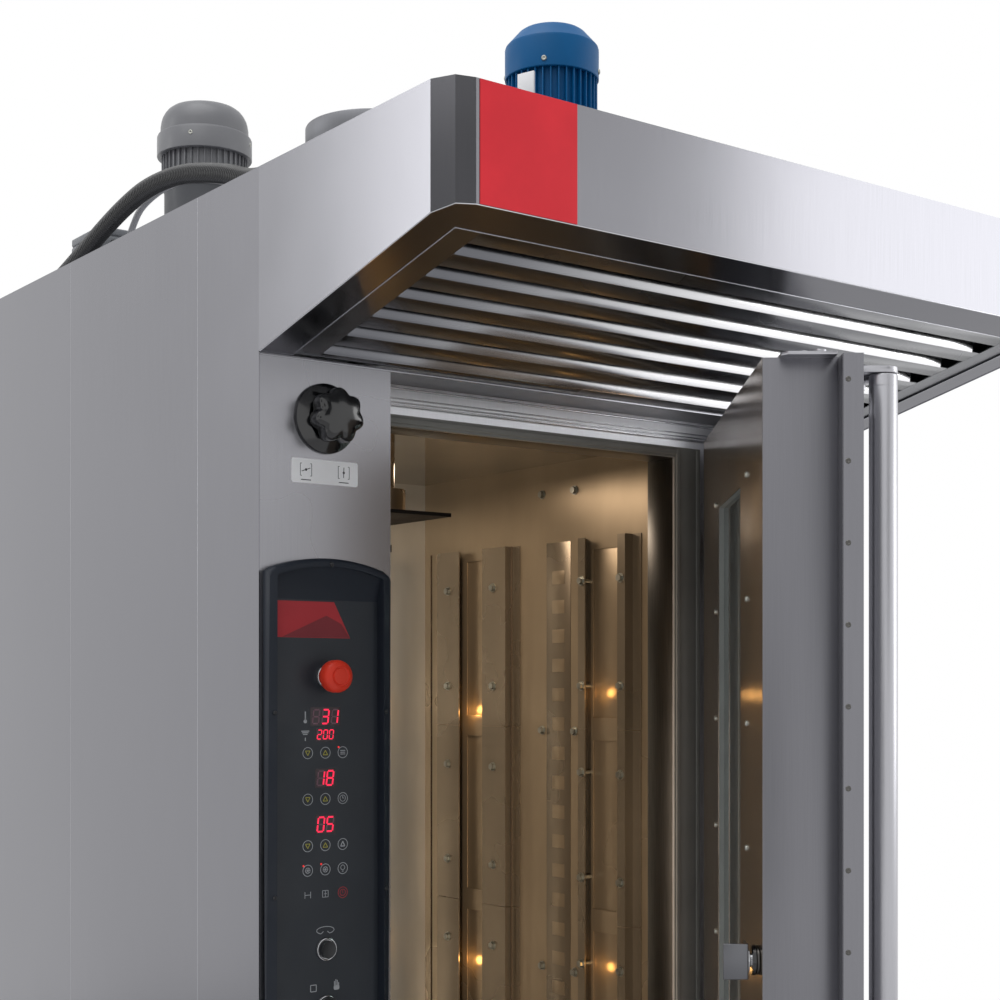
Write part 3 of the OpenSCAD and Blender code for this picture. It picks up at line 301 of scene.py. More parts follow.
def linear(code):
    """sRGB hex to linear red, green, blue and alpha."""
    parts = [int(code[i:i + 2], 16) / 255 for i in (1, 3, 5)]
    return tuple(c / 12.92 if c <= 0.04045 else ((c + 0.055) / 1.055) ** 2.4
                 for c in parts) + (1.0,)


def shade(code, factor):
    """A colour made lighter or darker."""
    r, g, b, a = linear(code)
    return (min(1, r * factor), min(1, g * factor), min(1, b * factor), a)


def add(tree, kind, settings=None, links=None):
    """Adds a node with its settings, by input or property name, and its incoming links."""
    node = tree.nodes.new(kind)
    for key, value in (settings or {}).items():
        if key in node.inputs:
            node.inputs[key].default_value = value
        else:
            setattr(node, key, value)
    for key, source in (links or {}).items():
        tree.links.new(source, node.inputs[key])
    return node


def begin(name):
    """An empty material with its tree and shader."""
    material = bpy.data.materials.new(name)
    material.use_nodes = True
    tree = material.node_tree
    tree.nodes.clear()
    shader = add(tree, "ShaderNodeBsdfPrincipled")
    output = add(tree, "ShaderNodeOutputMaterial")
    tree.links.new(shader.outputs["BSDF"], output.inputs["Surface"])
    return material, tree, shader


def pattern(tree, size_mm, detail):
    """A pattern on object coordinates whose features are size_mm wide along x, y and z."""
    place = add(tree, "ShaderNodeTexCoord")
    scaled = add(tree, "ShaderNodeMapping", {"Scale": [1000 / s for s in size_mm]},
                 {"Vector": place.outputs["Object"]})
    return add(tree, "ShaderNodeTexNoise", {"Scale": 1.0, "Detail": detail},
               {"Vector": scaled.outputs["Vector"]})


def between(tree, source, low, high):
    """Maps a pattern's 0.3 to 0.7 on to low to high."""
    return add(tree, "ShaderNodeMapRange",
               {"interpolation_type": "SMOOTHSTEP", "From Min": 0.3, "From Max": 0.7,
                "To Min": low, "To Max": high},
               {"Value": source}).outputs["Result"]


def two_tone(tree, factor, dark, light):
    """Mixes two colours by a pattern."""
    mix = add(tree, "ShaderNodeMix", {"data_type": "RGBA"})
    mix.inputs["A"].default_value = dark
    mix.inputs["B"].default_value = light
    ramp = between(tree, factor, 0.0, 1.0)
    tree.links.new(ramp, mix.inputs["Factor"])
    return mix.outputs["Result"]


def rough_and_bumpy(tree, shader, rough, wear_mm, grain, strength, height_mm):
    """Roughness that drifts over the surface, and fine relief from the grain."""
    drift = pattern(tree, [wear_mm] * 3, 3.0)
    tree.links.new(between(tree, drift.outputs["Fac"], rough[0], rough[1]),
                   shader.inputs["Roughness"])
    bump = add(tree, "ShaderNodeBump", {"Strength": strength, "Distance": height_mm / 1000},
               {"Height": grain})
    tree.links.new(bump.outputs["Normal"], shader.inputs["Normal"])


def brushed_sheet(name, colour, rough, grain=(0.9, 0.9, 90), relief=0.02, contrast=0.025):
    """Stainless sheet with a belt-brushed finish. The real scratches are about 0.1 mm apart;
    they are drawn 0.9 mm wide, coarse enough to show at this distance."""
    material, tree, shader = begin(name)
    shader.inputs["Metallic"].default_value = 1.0
    scratches = pattern(tree, grain, 4.0)
    tone = two_tone(tree, scratches.outputs["Fac"], shade(colour, 1 - contrast),
                    shade(colour, 1 + contrast))
    tree.links.new(tone, shader.inputs["Base Color"])
    rough_and_bumpy(tree, shader, rough, 420, scratches.outputs["Fac"], relief, 0.2)
    return material


def rolled_sheet(name, colour, rough, waviness, metallic=1.0):
    """Bright-annealed sheet: nearly a mirror, with the slow waves of thin metal. Where heat
    and smoke have left a film on it, it is less metallic."""
    material, tree, shader = begin(name)
    shader.inputs["Metallic"].default_value = metallic
    film = pattern(tree, (90, 90, 240), 3.0)
    tone = two_tone(tree, film.outputs["Fac"], shade(colour, 0.92), shade(colour, 1.07))
    tree.links.new(tone, shader.inputs["Base Color"])
    waves = pattern(tree, (160, 160, 210), 1.0)
    rough_and_bumpy(tree, shader, rough, 300, waves.outputs["Fac"], waviness, 6.0)
    return material


def shaded_to_bright_flap(name, dull, bright, rough):
    """The baffle's bent edges: painted shade at the left, painted highlight towards the right."""
    material, tree, shader = begin(name)
    shader.inputs["Metallic"].default_value = 1.0
    place = add(tree, "ShaderNodeTexCoord")
    along = add(tree, "ShaderNodeSeparateXYZ", None, {"Vector": place.outputs["Object"]})
    # the colour runs along x: painted shade at the left, painted highlight towards the right
    run = add(tree, "ShaderNodeMapRange", {"From Min": -0.45, "From Max": 0.12, "To Min": 0.3,
                                           "To Max": 0.7}, {"Value": along.outputs["X"]})
    tone = two_tone(tree, run.outputs["Result"], linear(dull), linear(bright))
    tree.links.new(tone, shader.inputs["Base Color"])
    film = pattern(tree, (40, 40, 8), 2.0)
    rough_and_bumpy(tree, shader, rough, 200, film.outputs["Fac"], 0.03, 1.0)
    return material


def cast_or_painted(name, colour, rough, grain_mm, relief, coat=0.0, metallic=0.0, gloss=0.5):
    """Paint, enamel or a cast skin: fine orange peel, with a slow drift of colour."""
    material, tree, shader = begin(name)
    shader.inputs["Specular IOR Level"].default_value = gloss
    shader.inputs["Metallic"].default_value = metallic
    shader.inputs["Coat Weight"].default_value = coat
    shader.inputs["Coat Roughness"].default_value = 0.15
    drift = pattern(tree, (70, 70, 70), 4.0)
    tone = two_tone(tree, drift.outputs["Fac"], shade(colour, 0.94), shade(colour, 1.05))
    tree.links.new(tone, shader.inputs["Base Color"])
    peel = pattern(tree, [grain_mm] * 3, 2.0)
    rough_and_bumpy(tree, shader, rough, 60, peel.outputs["Fac"], relief, 0.3)
    return material


def clear_glass(name, colour, rough):
    """Float glass: clear, with a slight tint and a film of handling marks."""
    material, tree, shader = begin(name)
    shader.inputs["Transmission Weight"].default_value = 1.0
    shader.inputs["IOR"].default_value = 1.5
    marks = pattern(tree, (120, 120, 160), 3.0)
    tone = two_tone(tree, marks.outputs["Fac"], shade(colour, 0.96), linear(colour))
    tree.links.new(tone, shader.inputs["Base Color"])
    tree.links.new(between(tree, marks.outputs["Fac"], rough[0], rough[1]),
                   shader.inputs["Roughness"])
    return material


def glowing(name, colour, strength, base="#1a0c10"):
    """A lit surface: lamp glass or a display segment, a little uneven over its face."""
    material, tree, shader = begin(name)
    shader.inputs["Base Color"].default_value = linear(base)
    shader.inputs["Roughness"].default_value = 0.3
    glow = pattern(tree, (9, 9, 9), 1.0)
    tone = two_tone(tree, glow.outputs["Fac"], shade(colour, 0.9), linear(colour))
    tree.links.new(tone, shader.inputs["Emission Color"])
    shader.inputs["Emission Strength"].default_value = strength
    return material


def finishes():
    """Every finish on the oven, by a maker's plain name."""
    return {
        # Belt-brushed stainless: satin, upright grain, soft wide reflections
        "brushed": brushed_sheet("brushed_stainless", "#808085", (0.17, 0.23)),
        # The columns beside the door: the same sheet, a little lighter
        "column": brushed_sheet("column_stainless", "#97979c", (0.26, 0.34)),
        # The same sheet on the hood, laid with its grain upright as on the sides
        "hood": brushed_sheet("hood_stainless", "#88888d", (0.17, 0.23)),
        # Fine-ground stainless of folded edges, tubes and handles: tighter reflections
        "ground": brushed_sheet("ground_stainless", "#b4b4b9", (0.26, 0.36), (0.7, 0.7, 50)),
        # Bright-annealed liner of the door: mirror-like, browned a little by baking
        "liner": rolled_sheet("bright_liner", "#93867a", (0.14, 0.24), 0.25, 0.9),
        # Chamber sheets: the same metal, browned more by heat and lit by the lamps
        "chamber": rolled_sheet("heat_tinted_stainless", "#9c8d77", (0.26, 0.36), 0.15, 0.65),
        # Ceiling of the chamber: the same sheet, still bright
        "ceiling": rolled_sheet("bright_ceiling", "#9c968c", (0.06, 0.14), 0.12, 0.9),
        # Back wall of the chamber: the same sheet painted paler, a painted reflection of the light from
        # the front
        "back": rolled_sheet("back_wall_painted_paler", "#c4c6c3", (0.32, 0.42), 0.1, 0.6),
        # Louvre strips: brushed and heat tinted
        "louvre": rolled_sheet("tinted_louvres", "#897e6e", (0.22, 0.32), 0.1, 0.75),
        # Roof, ducts and fan wheels: plain mill finish
        "mill": brushed_sheet("mill_stainless", "#9d9ea3", (0.28, 0.36), (2, 2, 40)),
        # Frame round the opening: matt, pale and clean behind the door
        "frame": brushed_sheet("frame_stainless", "#d6d7dc", (0.36, 0.46), (2, 2, 40)),
        # Flue spigot: rolled from matt galvanised sheet
        "flue": brushed_sheet("galvanised_flue", "#7b7c80", (0.46, 0.56), (2, 2, 40)),
        # Return of the door frame: baked dark at the chamber's mouth
        "jamb": brushed_sheet("baked_jamb", "#5f5e5c", (0.24, 0.34), (1.5, 1.5, 60), 0.03, 0.12),
        # Grease baffle under the hood: dark, smooth and reflective
        "baffle": rolled_sheet("baffle_stainless", "#8f9093", (0.20, 0.30), 0.1),
        # Bright edges: the same sheet painted lighter, a painted highlight on the hood's hem and lip
        # and in the panel seams; also used on the rails over the door
        "flap": rolled_sheet("painted_bright_edges", "#c3c4c9", (0.16, 0.26), 0.05),
        # Bent edges of the baffle's slots: painted shade at the left, painted highlight towards the
        # right
        "slot_flap": shaded_to_bright_flap("flaps_shaded_to_bright", "#6a6b70", "#fafafc", (0.16, 0.24)),
        # Latch blade: the same sheet, dulled by use
        "blade": rolled_sheet("dulled_blade", "#6c6d71", (0.26, 0.36), 0.05),
        # Edge of the door's box, outside the seal: clean, unbaked sheet
        "edge": brushed_sheet("door_edge_stainless", "#7c7c81", (0.30, 0.38)),
        # Zinc-plated screws and bolts: pale, slightly mottled
        "zinc": cast_or_painted("zinc_plate", "#a5a69f", (0.28, 0.42), 1.2, 0.10, 0, 1.0),
        # Turned steel of shafts and pins: bright rings
        "turned": brushed_sheet("turned_steel", "#b9babd", (0.18, 0.26), (4, 4, 0.8)),
        # Blackened steel of the rack hook and the base: rough oxide skin
        "black_oxide": cast_or_painted("black_oxide", "#26262a", (0.45, 0.6), 1.5, 0.2, 0, 0.6),
        # Blue enamel on cast aluminium: glossy, with a thick coat over the casting's grain
        "blue_enamel": cast_or_painted("blue_enamel", "#00588f", (0.4, 0.5), 1.6, 0.25, 0, 0, 0.2),
        # Grey enamel on the larger motor: satin
        "grey_enamel": cast_or_painted("grey_enamel", "#6c6d71", (0.4, 0.52), 1.6, 0.2, 0.1),
        # The same casting below the fins, and the motor's stand: a darker grey
        "dark_bell": cast_or_painted("darker_grey_enamel", "#3b3d42", (0.45, 0.58), 1.6, 0.2, 0.05),
        # Darker enamel on the gear unit
        "gear_enamel": cast_or_painted("gear_enamel", "#44474d", (0.42, 0.55), 1.8, 0.25, 0.1),
        # Red film on the sign plate: smooth, slightly glossy
        "red_film": cast_or_painted("red_film", "#f03843", (0.4, 0.5), 2.5, 0.03, 0, 0, 0.15),
        # Grained ABS of the control surround: dark blue-grey with a spark-eroded grain
        "fascia_abs": cast_or_painted("grained_abs", "#1b212b", (0.5, 0.62), 0.9, 0.35, 0, 0, 0.3),
        # Rack carrier: black paint, matt with soot
        "soot_black": cast_or_painted("soot_black", "#101012", (0.5, 0.6), 1.5, 0.2, 0, 0, 0.2),
        # Polyester film of the key panel: fine matt
        "panel_film": cast_or_painted("matt_polyester", "#252a31", (0.42, 0.52), 0.7, 0.08, 0, 0, 0.4),
        # Printed inks of the key film, and the black of the damper label
        "white_ink": cast_or_painted("white_ink", "#a9adb2", (0.5, 0.6), 1.0, 0.02),
        "yellow_ink": cast_or_painted("yellow_ink", "#a7a23c", (0.5, 0.6), 1.0, 0.02),
        "red_ink": cast_or_painted("red_ink", "#ae343b", (0.5, 0.6), 1.0, 0.02, 0, 0, 0.3),
        "dark_red_ink": cast_or_painted("dark_red_ink", "#7c2f36", (0.5, 0.6), 1.0, 0.02, 0, 0, 0.3),
        "black_ink": cast_or_painted("black_ink", "#34353a", (0.5, 0.6), 1.0, 0.02),
        # Silver polyester label
        "silver_label": cast_or_painted("silver_label", "#f2f3f6", (0.45, 0.55), 1.0, 0.03),
        # Display windows and their segments
        "display": cast_or_painted("display_window", "#2b1a22", (0.2, 0.28), 2.0, 0.02),
        "segment_on": glowing("lit_segment", "#ff1746", 1.6),
        "segment_off": cast_or_painted("unlit_segment", "#6b4a58", (0.4, 0.5), 2.0, 0.02),
        # Signal lamps beside the keys
        "led": glowing("red_led", "#ff2a2a", 1.0),
        # Black phenolic knob: moulded, high gloss
        "phenolic": cast_or_painted("black_phenolic", "#101114", (0.08, 0.16), 6.0, 0.05, 0.5),
        # Matt black nylon of the switches
        "nylon": cast_or_painted("black_nylon", "#1b1d21", (0.4, 0.5), 0.8, 0.1),
        # Red thermoplastic of the stop button: satin
        "stop_red": cast_or_painted("red_thermoplastic", "#dc3a26", (0.36, 0.46), 1.0, 0.05, 0, 0, 0.3),
        # Silicone seals of the door frame, browned by baking, and of the window
        "frame_seal": cast_or_painted("baked_silicone", "#83837f", (0.5, 0.65), 1.0, 0.12),
        "pale_seal": cast_or_painted("grey_silicone", "#8f9290", (0.45, 0.6), 1.0, 0.12),
        # Corrugated nylon conduit and the PVC sheath of the cable
        "conduit": cast_or_painted("conduit_nylon", "#17181b", (0.3, 0.4), 2.0, 0.06, 0.15),
        "sheath": cast_or_painted("pvc_sheath", "#b4b5b8", (0.4, 0.5), 1.4, 0.06),
        # Grey polycarbonate of the junction box and the outlets
        "grey_box": cast_or_painted("grey_polycarbonate", "#6e7176", (0.4, 0.5), 1.0, 0.1),
        # Mineral wool behind the sheets: fibrous
        "wool": cast_or_painted("mineral_wool", "#9a8f62", (0.85, 0.95), 3.0, 0.9),
        # Float glass of the door's window
        "glass": clear_glass("float_glass", "#dfe8e4", (0.0, 0.04)),
        # Lamp glass, lit from behind
        "lamp": glowing("lamp_glass", "#ffd9a0", 5.0, "#fff0d8"),
    }


FINISH = finishes()

# The CAD nodes that keep their shape, and the finish each one shows
NODE_FINISH = {
    "base_frame": "black_oxide", "entry_ramp": "ground", "insulation_packs": "wool",
    "plenum_shell": "chamber", "chamber_floor": "chamber", "left_wall": "chamber",
    "right_wall": "chamber", "back_wall": "back", "chamber_ceiling": "ceiling",
    "air_louvres": "louvre", "wall_bolts": "zinc", "heater_partitions": "chamber",
    "heater_elements": "black_oxide", "chamber_lamps": "lamp", "left_panels": "brushed",
    "right_panels": "brushed", "rear_panel": "brushed", "roof_panel": "mill",
    "left_column": "column", "right_column": "column", "door_frame": "mill",
    "frame_gasket": "frame_seal", "extractor_box": "mill", "steam_duct": "mill",
    "hood_shell": "hood", "hood_baffle": "baffle", "sign_plate": "red_film",
    "flue_pipe": "mill", "extractor_motor": "blue_enamel", "fan_motor": "grey_enamel",
    "gear_motor": "gear_enamel", "spindle_bearing": "turned", "knob_bezel": "phenolic",
    "control_fascia": "fascia_abs", "control_panel": "panel_film", "switch_collars": "turned",
    "junction_box": "grey_box", "roof_conduit": "conduit", "grey_cable": "sheath",
    "column_hinges": "ground", "door_skin": "brushed", "door_liner": "liner",
    "door_core": "wool", "window_frame": "ground", "door_glass": "glass",
    "window_gasket": "pale_seal", "door_hinges": "ground", "handle_brackets": "ground",
    "door_fittings": "zinc", "door_handle": "ground", "latch_tongue": "ground",
    "rack_spindle": "chamber", "rack_carrier": "soot_black", "circulation_fan": "mill",
    "extractor_fan": "mill", "damper_knob": "phenolic", "damper_flap": "mill",
    "estop_button": "stop_red", "push_button": "nylon", "selector_knob": "nylon",
}


def dress_nodes():
    """Puts each CAD node's finish in its material slots."""
    for name, finish in NODE_FINISH.items():
        mesh = NODES[name].data
        mesh.materials.clear()
        mesh.materials.append(FINISH[finish])


EASED = {"hood_shell": 1.6, "left_panels": 1.4, "right_panels": 1.4, "rear_panel": 1.4,
         "roof_panel": 1.2, "left_column": 1.4, "right_column": 1.4, "door_skin": 1.4,
         "sign_plate": 0.5, "entry_ramp": 1.0}


def ease_edges():
    """Folded sheet has small round edges: a live bevel on the CAD nodes that stay."""
    for name, width in EASED.items():
        round_edge = NODES[name].modifiers.new("round_edge", "BEVEL")
        round_edge.width = width / 1000
        round_edge.segments = 2
        round_edge.limit_method = "ANGLE"
        round_edge.angle_limit = math.radians(40)


# ---------------------------------------------------------------- camera, lamps and stage


def place_camera():
    """The photograph's view: level camera at 1574 mm, turned 36.87 degrees, shifted up."""
    deselect()
    bpy.ops.object.camera_add(location=(-1.518, -2.349, 1.574),
                              rotation=(math.radians(90), 0, math.radians(-36.87)))
    camera = bpy.context.object
    camera.data.sensor_width = 36
    camera.data.lens = 60.48
    camera.data.shift_y = 0.187
    camera.data.clip_start = 0.05
    camera.data.clip_end = 60
    bpy.context.scene.camera = camera


def softbox(name, at, towards, size, power, colour="#ffffff"):
    """A large soft lamp, in metres and watts."""
    deselect()
    aim = Vector(towards) - Vector(at)
    bpy.ops.object.light_add(type="AREA", location=at,
                             rotation=aim.to_track_quat("-Z", "Y").to_euler())
    lamp = bpy.context.object
    lamp.name = name
    lamp.data.shape = "RECTANGLE"
    lamp.data.size, lamp.data.size_y = size
    lamp.data.energy = power
    lamp.data.color = linear(colour)[:3]
    return lamp


def glint(name, at, power, colour):
    """A small warm lamp close to a wall sheet: the glare of the chamber's lamps there."""
    deselect()
    bpy.ops.object.light_add(type="POINT", location=at)
    lamp = bpy.context.object
    lamp.name = name
    lamp.data.energy = power
    lamp.data.shadow_soft_size = 0.008
    lamp.data.color = linear(colour)[:3]
    return lamp


def build_studio():
    """White world, pale floor, three soft lamps, three grey cards and the chamber's lamps."""
    world = bpy.data.worlds.new("white_studio")
    world.use_nodes = True
    tree = world.node_tree
    tree.nodes.clear()
    path = add(tree, "ShaderNodeLightPath")
    seen = add(tree, "ShaderNodeMath", {"operation": "ADD"})
    tree.links.new(path.outputs["Is Camera Ray"], seen.inputs[0])
    tree.links.new(path.outputs["Is Glossy Ray"], seen.inputs[1])
    also = add(tree, "ShaderNodeMath", {"operation": "ADD", "use_clamp": True})
    tree.links.new(seen.outputs[0], also.inputs[0])
    tree.links.new(path.outputs["Is Transmission Ray"], also.inputs[1])
    level = add(tree, "ShaderNodeMapRange", {"To Min": 0.55, "To Max": 1.0},
                {"Value": also.outputs[0]})
    light = add(tree, "ShaderNodeBackground", {"Color": linear("#ffffff")},
                {"Strength": level.outputs["Result"]})
    output = add(tree, "ShaderNodeOutputWorld")
    tree.links.new(light.outputs[0], output.inputs[0])
    bpy.context.scene.world = world

    softbox("key_right", (3.5, -3.0, 2.7), (0.2, -0.9, 2.0), (2.2, 2.2), 38)
    softbox("fill_left", (-3.75, 3.03, 3.6), (-0.54, -0.8, 2.1), (1.1, 2.4), 26)
    softbox("top_light", (-1.2, -0.4, 5.2), (0.0, 0.0, 2.0), (3.0, 3.0), 70)
    softbox("chamber_left", (-0.355, -0.34, 1.1), (0.39, 0.05, 1.1), (0.10, 1.2), 4.5,
            "#ffe8cf")
    softbox("chamber_top", (0.1, 0.12, 1.95), (0.1, 0.1, 0), (0.25, 0.2), 1.5, "#ffe8cf")
    for y, z, power in ((285, 1525, 0.05), (288, 1045, 0.05), (-104, 1560, 0.03),
                        (-104, 1085, 0.03)):
        glint("lamp_glint", (0.378, y / 1000, z / 1000), power, "#ffbe6e")

    # Grey cards out of view: behind the camera's left, far left and straight ahead of the hood
    felt, card_tree, shader = begin("grey_card")
    fibres = pattern(card_tree, (30, 30, 30), 2.0)
    tone = two_tone(card_tree, fibres.outputs["Fac"], linear("#5a5a5a"), linear("#626262"))
    card_tree.links.new(tone, shader.inputs["Base Color"])
    shader.inputs["Roughness"].default_value = 0.9
    for name, at, width, height, faces in (("card_left", (-2.8, -3.3, 2.0), 2.9, 3.4, -40),
                                           ("card_side", (-3.5, -0.75, 2.8), 1.1, 2.0, 90),
                                           ("card_front", (-0.3, -3.6, 2.9), 0.85, 2.2, 0)):
        deselect()
        bpy.ops.mesh.primitive_grid_add(x_subdivisions=2, y_subdivisions=2, size=1, location=at,
                                        scale=(width, height, 1),
                                        rotation=(math.radians(90), 0, math.radians(faces)))
        card = settle(named(name))
        card.data.materials.append(felt)

    deselect()
    bpy.ops.mesh.primitive_grid_add(x_subdivisions=4, y_subdivisions=4, size=10,
                                    location=(0, 0, 0))
    floor = settle(named("studio_floor"))
    paint, floor_tree, shader = begin("pale_floor_paint")
    speckle = pattern(floor_tree, (40, 40, 40), 2.0)
    tone = two_tone(floor_tree, speckle.outputs["Fac"], linear("#ececee"), linear("#f2f2f4"))
    floor_tree.links.new(tone, shader.inputs["Base Color"])
    shader.inputs["Roughness"].default_value = 0.8
    floor.data.materials.append(paint)


# ---------------------------------------------------------------- motors on the roof


def screw_head(name, r, at, axis="Z"):
    """A pan-head screw with a cross recess."""
    head = turned(name, [(0, 0), (r, 0), (r, r * 0.25), (r * 0.8, r * 0.6), (r * 0.4, r * 0.75),
                         (0, r * 0.8)], (0, 0, 0), "Z", 16)
    pick(head, "FACE", lambda c, n: c.z > r * 0.62 and math.hypot(c.x, c.y) < r * 0.5)
    bpy.ops.mesh.inset(thickness=r * 0.1 / 1000)
    bpy.ops.transform.translate(value=(0, 0, -r * 0.35 / 1000))
    leave()
    if axis == "Y":
        head.data.transform(Matrix.Rotation(math.radians(90), 4, "X"))
    head.data.transform(shift(*at))
    return head


def cooling_fins(name, count, inner, outer, low, high, thick):
    """Upright cast fins round a motor barrel, each with a rounded outer edge."""
    fin = block(name, (inner, -thick / 2, low), (outer, thick / 2, high), thick * 0.35, 2)
    return row(fin, [turn(i * 360 / count, "Z") for i in range(1, count)])


def terminal_box(name, inner, length, half, low, high):
    """Box on a motor's side: lid with a lip, four screws and a cable gland below."""
    body = block(name, (inner, -half, low), (inner + length - 5, half, high), 3)
    lid = block(name + "_lid", (inner + length - 4.2, -half - 1.5, low - 1.5),
                (inner + length, half + 1.5, high + 1.5), 1.5)
    screw = screw_head(name + "_screw", 2.6, (0, 0, 0))
    screw.data.transform(Matrix.Rotation(math.radians(90), 4, "Y"))
    screw.data.transform(shift(inner + length, -half + 5, low + 5))
    across, up = 2 * half - 10, high - low - 10
    screws = row(screw, [shift(0, across, 0), shift(0, 0, up), shift(0, across, up)])
    gland = turned(name + "_gland", [(0, 0), (9, 0), (9, 9), (11, 9), (11, 16), (0, 16)],
                   (inner + length / 2, 0, low - 15), "Z", 6, 20)
    return joined(name, [body, lid, screws, gland])


def blue_motor():
    """Extractor motor: finned barrel under a flat-topped cowl, four screws round it."""
    r, top, cowl = 68, 320, 250
    barrel_r = r * 0.86
    barrel = turned("extractor_motor_body", [
        (0, 0), (r, 0), (r, 7), (r - 3, 11), (barrel_r, 16), (barrel_r, cowl + 2), (0, cowl + 2)],
        (0, 0, 0), "Z", 72)
    fins = cooling_fins("extractor_motor_fins", 36, barrel_r - 1, r - 2.2, 12, cowl + 4, 2.1)
    box = terminal_box("extractor_terminal_box", barrel_r - 3, 34, 33, 36, 98)
    box.data.transform(turn(90, "Z"))
    shell = turned("extractor_motor_cowl", [
        (r * 0.9, cowl - 1), (r - 0.6, cowl - 1), (r, cowl), (r, top - 28), (r - 1, top - 24.6),
        (r * 0.76, top - 7.4), (r * 0.72, top - 4.4), (r * 0.66, top - 1.6), (r * 0.6, top),
        (0, top), (0, top - 3), (r * 0.58, top - 3), (r - 5, top - 30), (r * 0.9, cowl - 1)],
        (0, 0, 0), "Z", 72, 25)
    rings = [turned("vent", [(q, 0), (q + 2, 0), (q + 2, 0.4), (q, 0.4), (q, 0)],
                    (0, 0, top - 0.35), "Z", 48) for q in (12, 19, 26, 33)]
    whole = joined("extractor_motor_body", [barrel, fins, box, shell])
    whole.data.transform(shift(0, EXTRACTOR_Y, ROOF_Z))
    finished(whole, "oven", FINISH["blue_enamel"], "blue_paint", "extractor_motor")
    grid = joined("extractor_motor_vents", rings)
    grid.data.transform(shift(0, EXTRACTOR_Y, ROOF_Z))
    finished(grid, "oven", FINISH["nylon"], "blue_paint")
    screw = screw_head("extractor_cowl_screws", 4.2, (0, 0, 0))
    screw.data.transform(Matrix.Rotation(math.radians(90), 4, "Y"))
    screw.data.transform(shift(r - 0.8, 0, cowl + 9))
    screw.data.transform(turn(-138, "Z"))
    screws = row(screw, [turn(a, "Z") for a in (90, 180, 270)])
    screws.data.transform(shift(0, EXTRACTOR_Y, ROOF_Z))
    finished(screws, "oven", FINISH["zinc"], "plain_steel")
    rating = block("extractor_rating_plate", (barrel_r + 4.4, -14, 205), (r - 0.4, 14, 243), 0.6)
    rating.data.transform(turn(-162, "Z"))
    rating.data.transform(shift(0, EXTRACTOR_Y, ROOF_Z))
    finished(rating, "oven", FINISH["silver_label"], "plain_steel")


def grey_motor():
    """Circulation fan motor on its stand: dark bell, short fins, a band and a boxy cowl."""
    stand_h, r, top = 196, 92, 315
    cowl, bell = 214, 150
    barrel_r = r * 0.86
    barrel = turned("fan_motor_body", [(0, bell - 4), (barrel_r, bell - 4), (barrel_r, cowl + 2),
                                       (0, cowl + 2)], (0, 0, 0), "Z", 72)
    fins = cooling_fins("fan_motor_fins", 40, barrel_r - 1, r - 8.5, bell, cowl + 3, 2.6)
    shell = turned("fan_motor_cowl", [
        (r - 12, cowl), (r - 0.6, cowl), (r, cowl + 1), (r, cowl + 38), (r - 1.4, cowl + 41),
        (r - 6, cowl + 44), (r * 0.93, cowl + 44.6), (r * 0.925, cowl + 58),
        (r * 0.91, cowl + 67), (r * 0.885, cowl + 75), (r * 0.84, cowl + 83),
        (r * 0.78, cowl + 90), (r * 0.7, cowl + 95.5), (r * 0.6, cowl + 98.8),
        (r * 0.48, cowl + 100.6), (r * 0.36, cowl + 101), (0, top), (0, top - 4),
        (r * 0.6, top - 8), (r - 12, cowl)], (0, 0, 0), "Z", 72, 25)
    box = terminal_box("fan_terminal_box", barrel_r - 3, 46, 44, 36, 97)
    box.data.transform(turn(90, "Z"))
    motor = joined("fan_motor_body", [barrel, fins, shell, box])
    motor.data.transform(shift(0, FAN_Y, ROOF_Z + stand_h))
    low = turned("fan_motor_bell", [
        (0, 0), (r, 0), (r, 9), (r - 4, 13), (barrel_r + 1, 17), (barrel_r - 1, 22),
        (barrel_r - 1, bell), (0, bell)], (0, 0, 0), "Z", 72)
    low.data.transform(shift(0, FAN_Y, ROOF_Z + stand_h))
    finished(low, "oven", FINISH["dark_bell"], "grey_paint")
    foot = block("fan_motor_stand", (-117, -117, 0), (117, 117, 6), 1.5)
    ring_low = turned("stand_low", [(64.4, 5), (76.4, 5), (76.4, 50), (64.4, 50), (64.4, 5)],
                      (0, 0, 0), "Z", 64)
    ring_high = turned("stand_high", [
        (36, stand_h - 9), (64, stand_h - 10), (64.4, 146), (76.4, 146), (76.4, stand_h - 8),
        (76.4, stand_h), (36, stand_h), (36, stand_h - 9)],
        (0, 0, 0), "Z", 64)
    leg = block("stand_leg", (47, 36, 48), (58, 48, 148), 1.5)
    legs = row(leg, [turn(a, "Z") for a in (90, 180, 270)])
    nut = turned("stand_nut", [(0, 0), (9, 0), (9, 7), (7.6, 8.4), (0, 8.4)], (100, 100, 6),
                 "Z", 6, 20)
    nuts = row(nut, [shift(-200, 0), shift(0, -200), shift(-200, -200)])
    stand = joined("fan_motor_stand", [foot, ring_low, ring_high, legs])
    stand.data.transform(shift(0, FAN_Y, ROOF_Z))
    finished(stand, "oven", FINISH["dark_bell"], "grey_paint")
    nuts.data.transform(shift(0, FAN_Y, ROOF_Z))
    finished(nuts, "oven", FINISH["zinc"], "plain_steel")
    finished(motor, "oven", FINISH["grey_enamel"], "grey_paint", "fan_motor")
    screw = screw_head("fan_cowl_screws", 5.0, (0, 0, 0))
    screw.data.transform(Matrix.Rotation(math.radians(90), 4, "Y"))
    screw.data.transform(shift(r - 2.5, 0, cowl + 26))
    screw.data.transform(turn(-134, "Z"))
    screws = row(screw, [turn(a, "Z") for a in (90, 180, 270)])
    screws.data.transform(shift(0, FAN_Y, ROOF_Z + stand_h))
    finished(screws, "oven", FINISH["zinc"], "plain_steel")


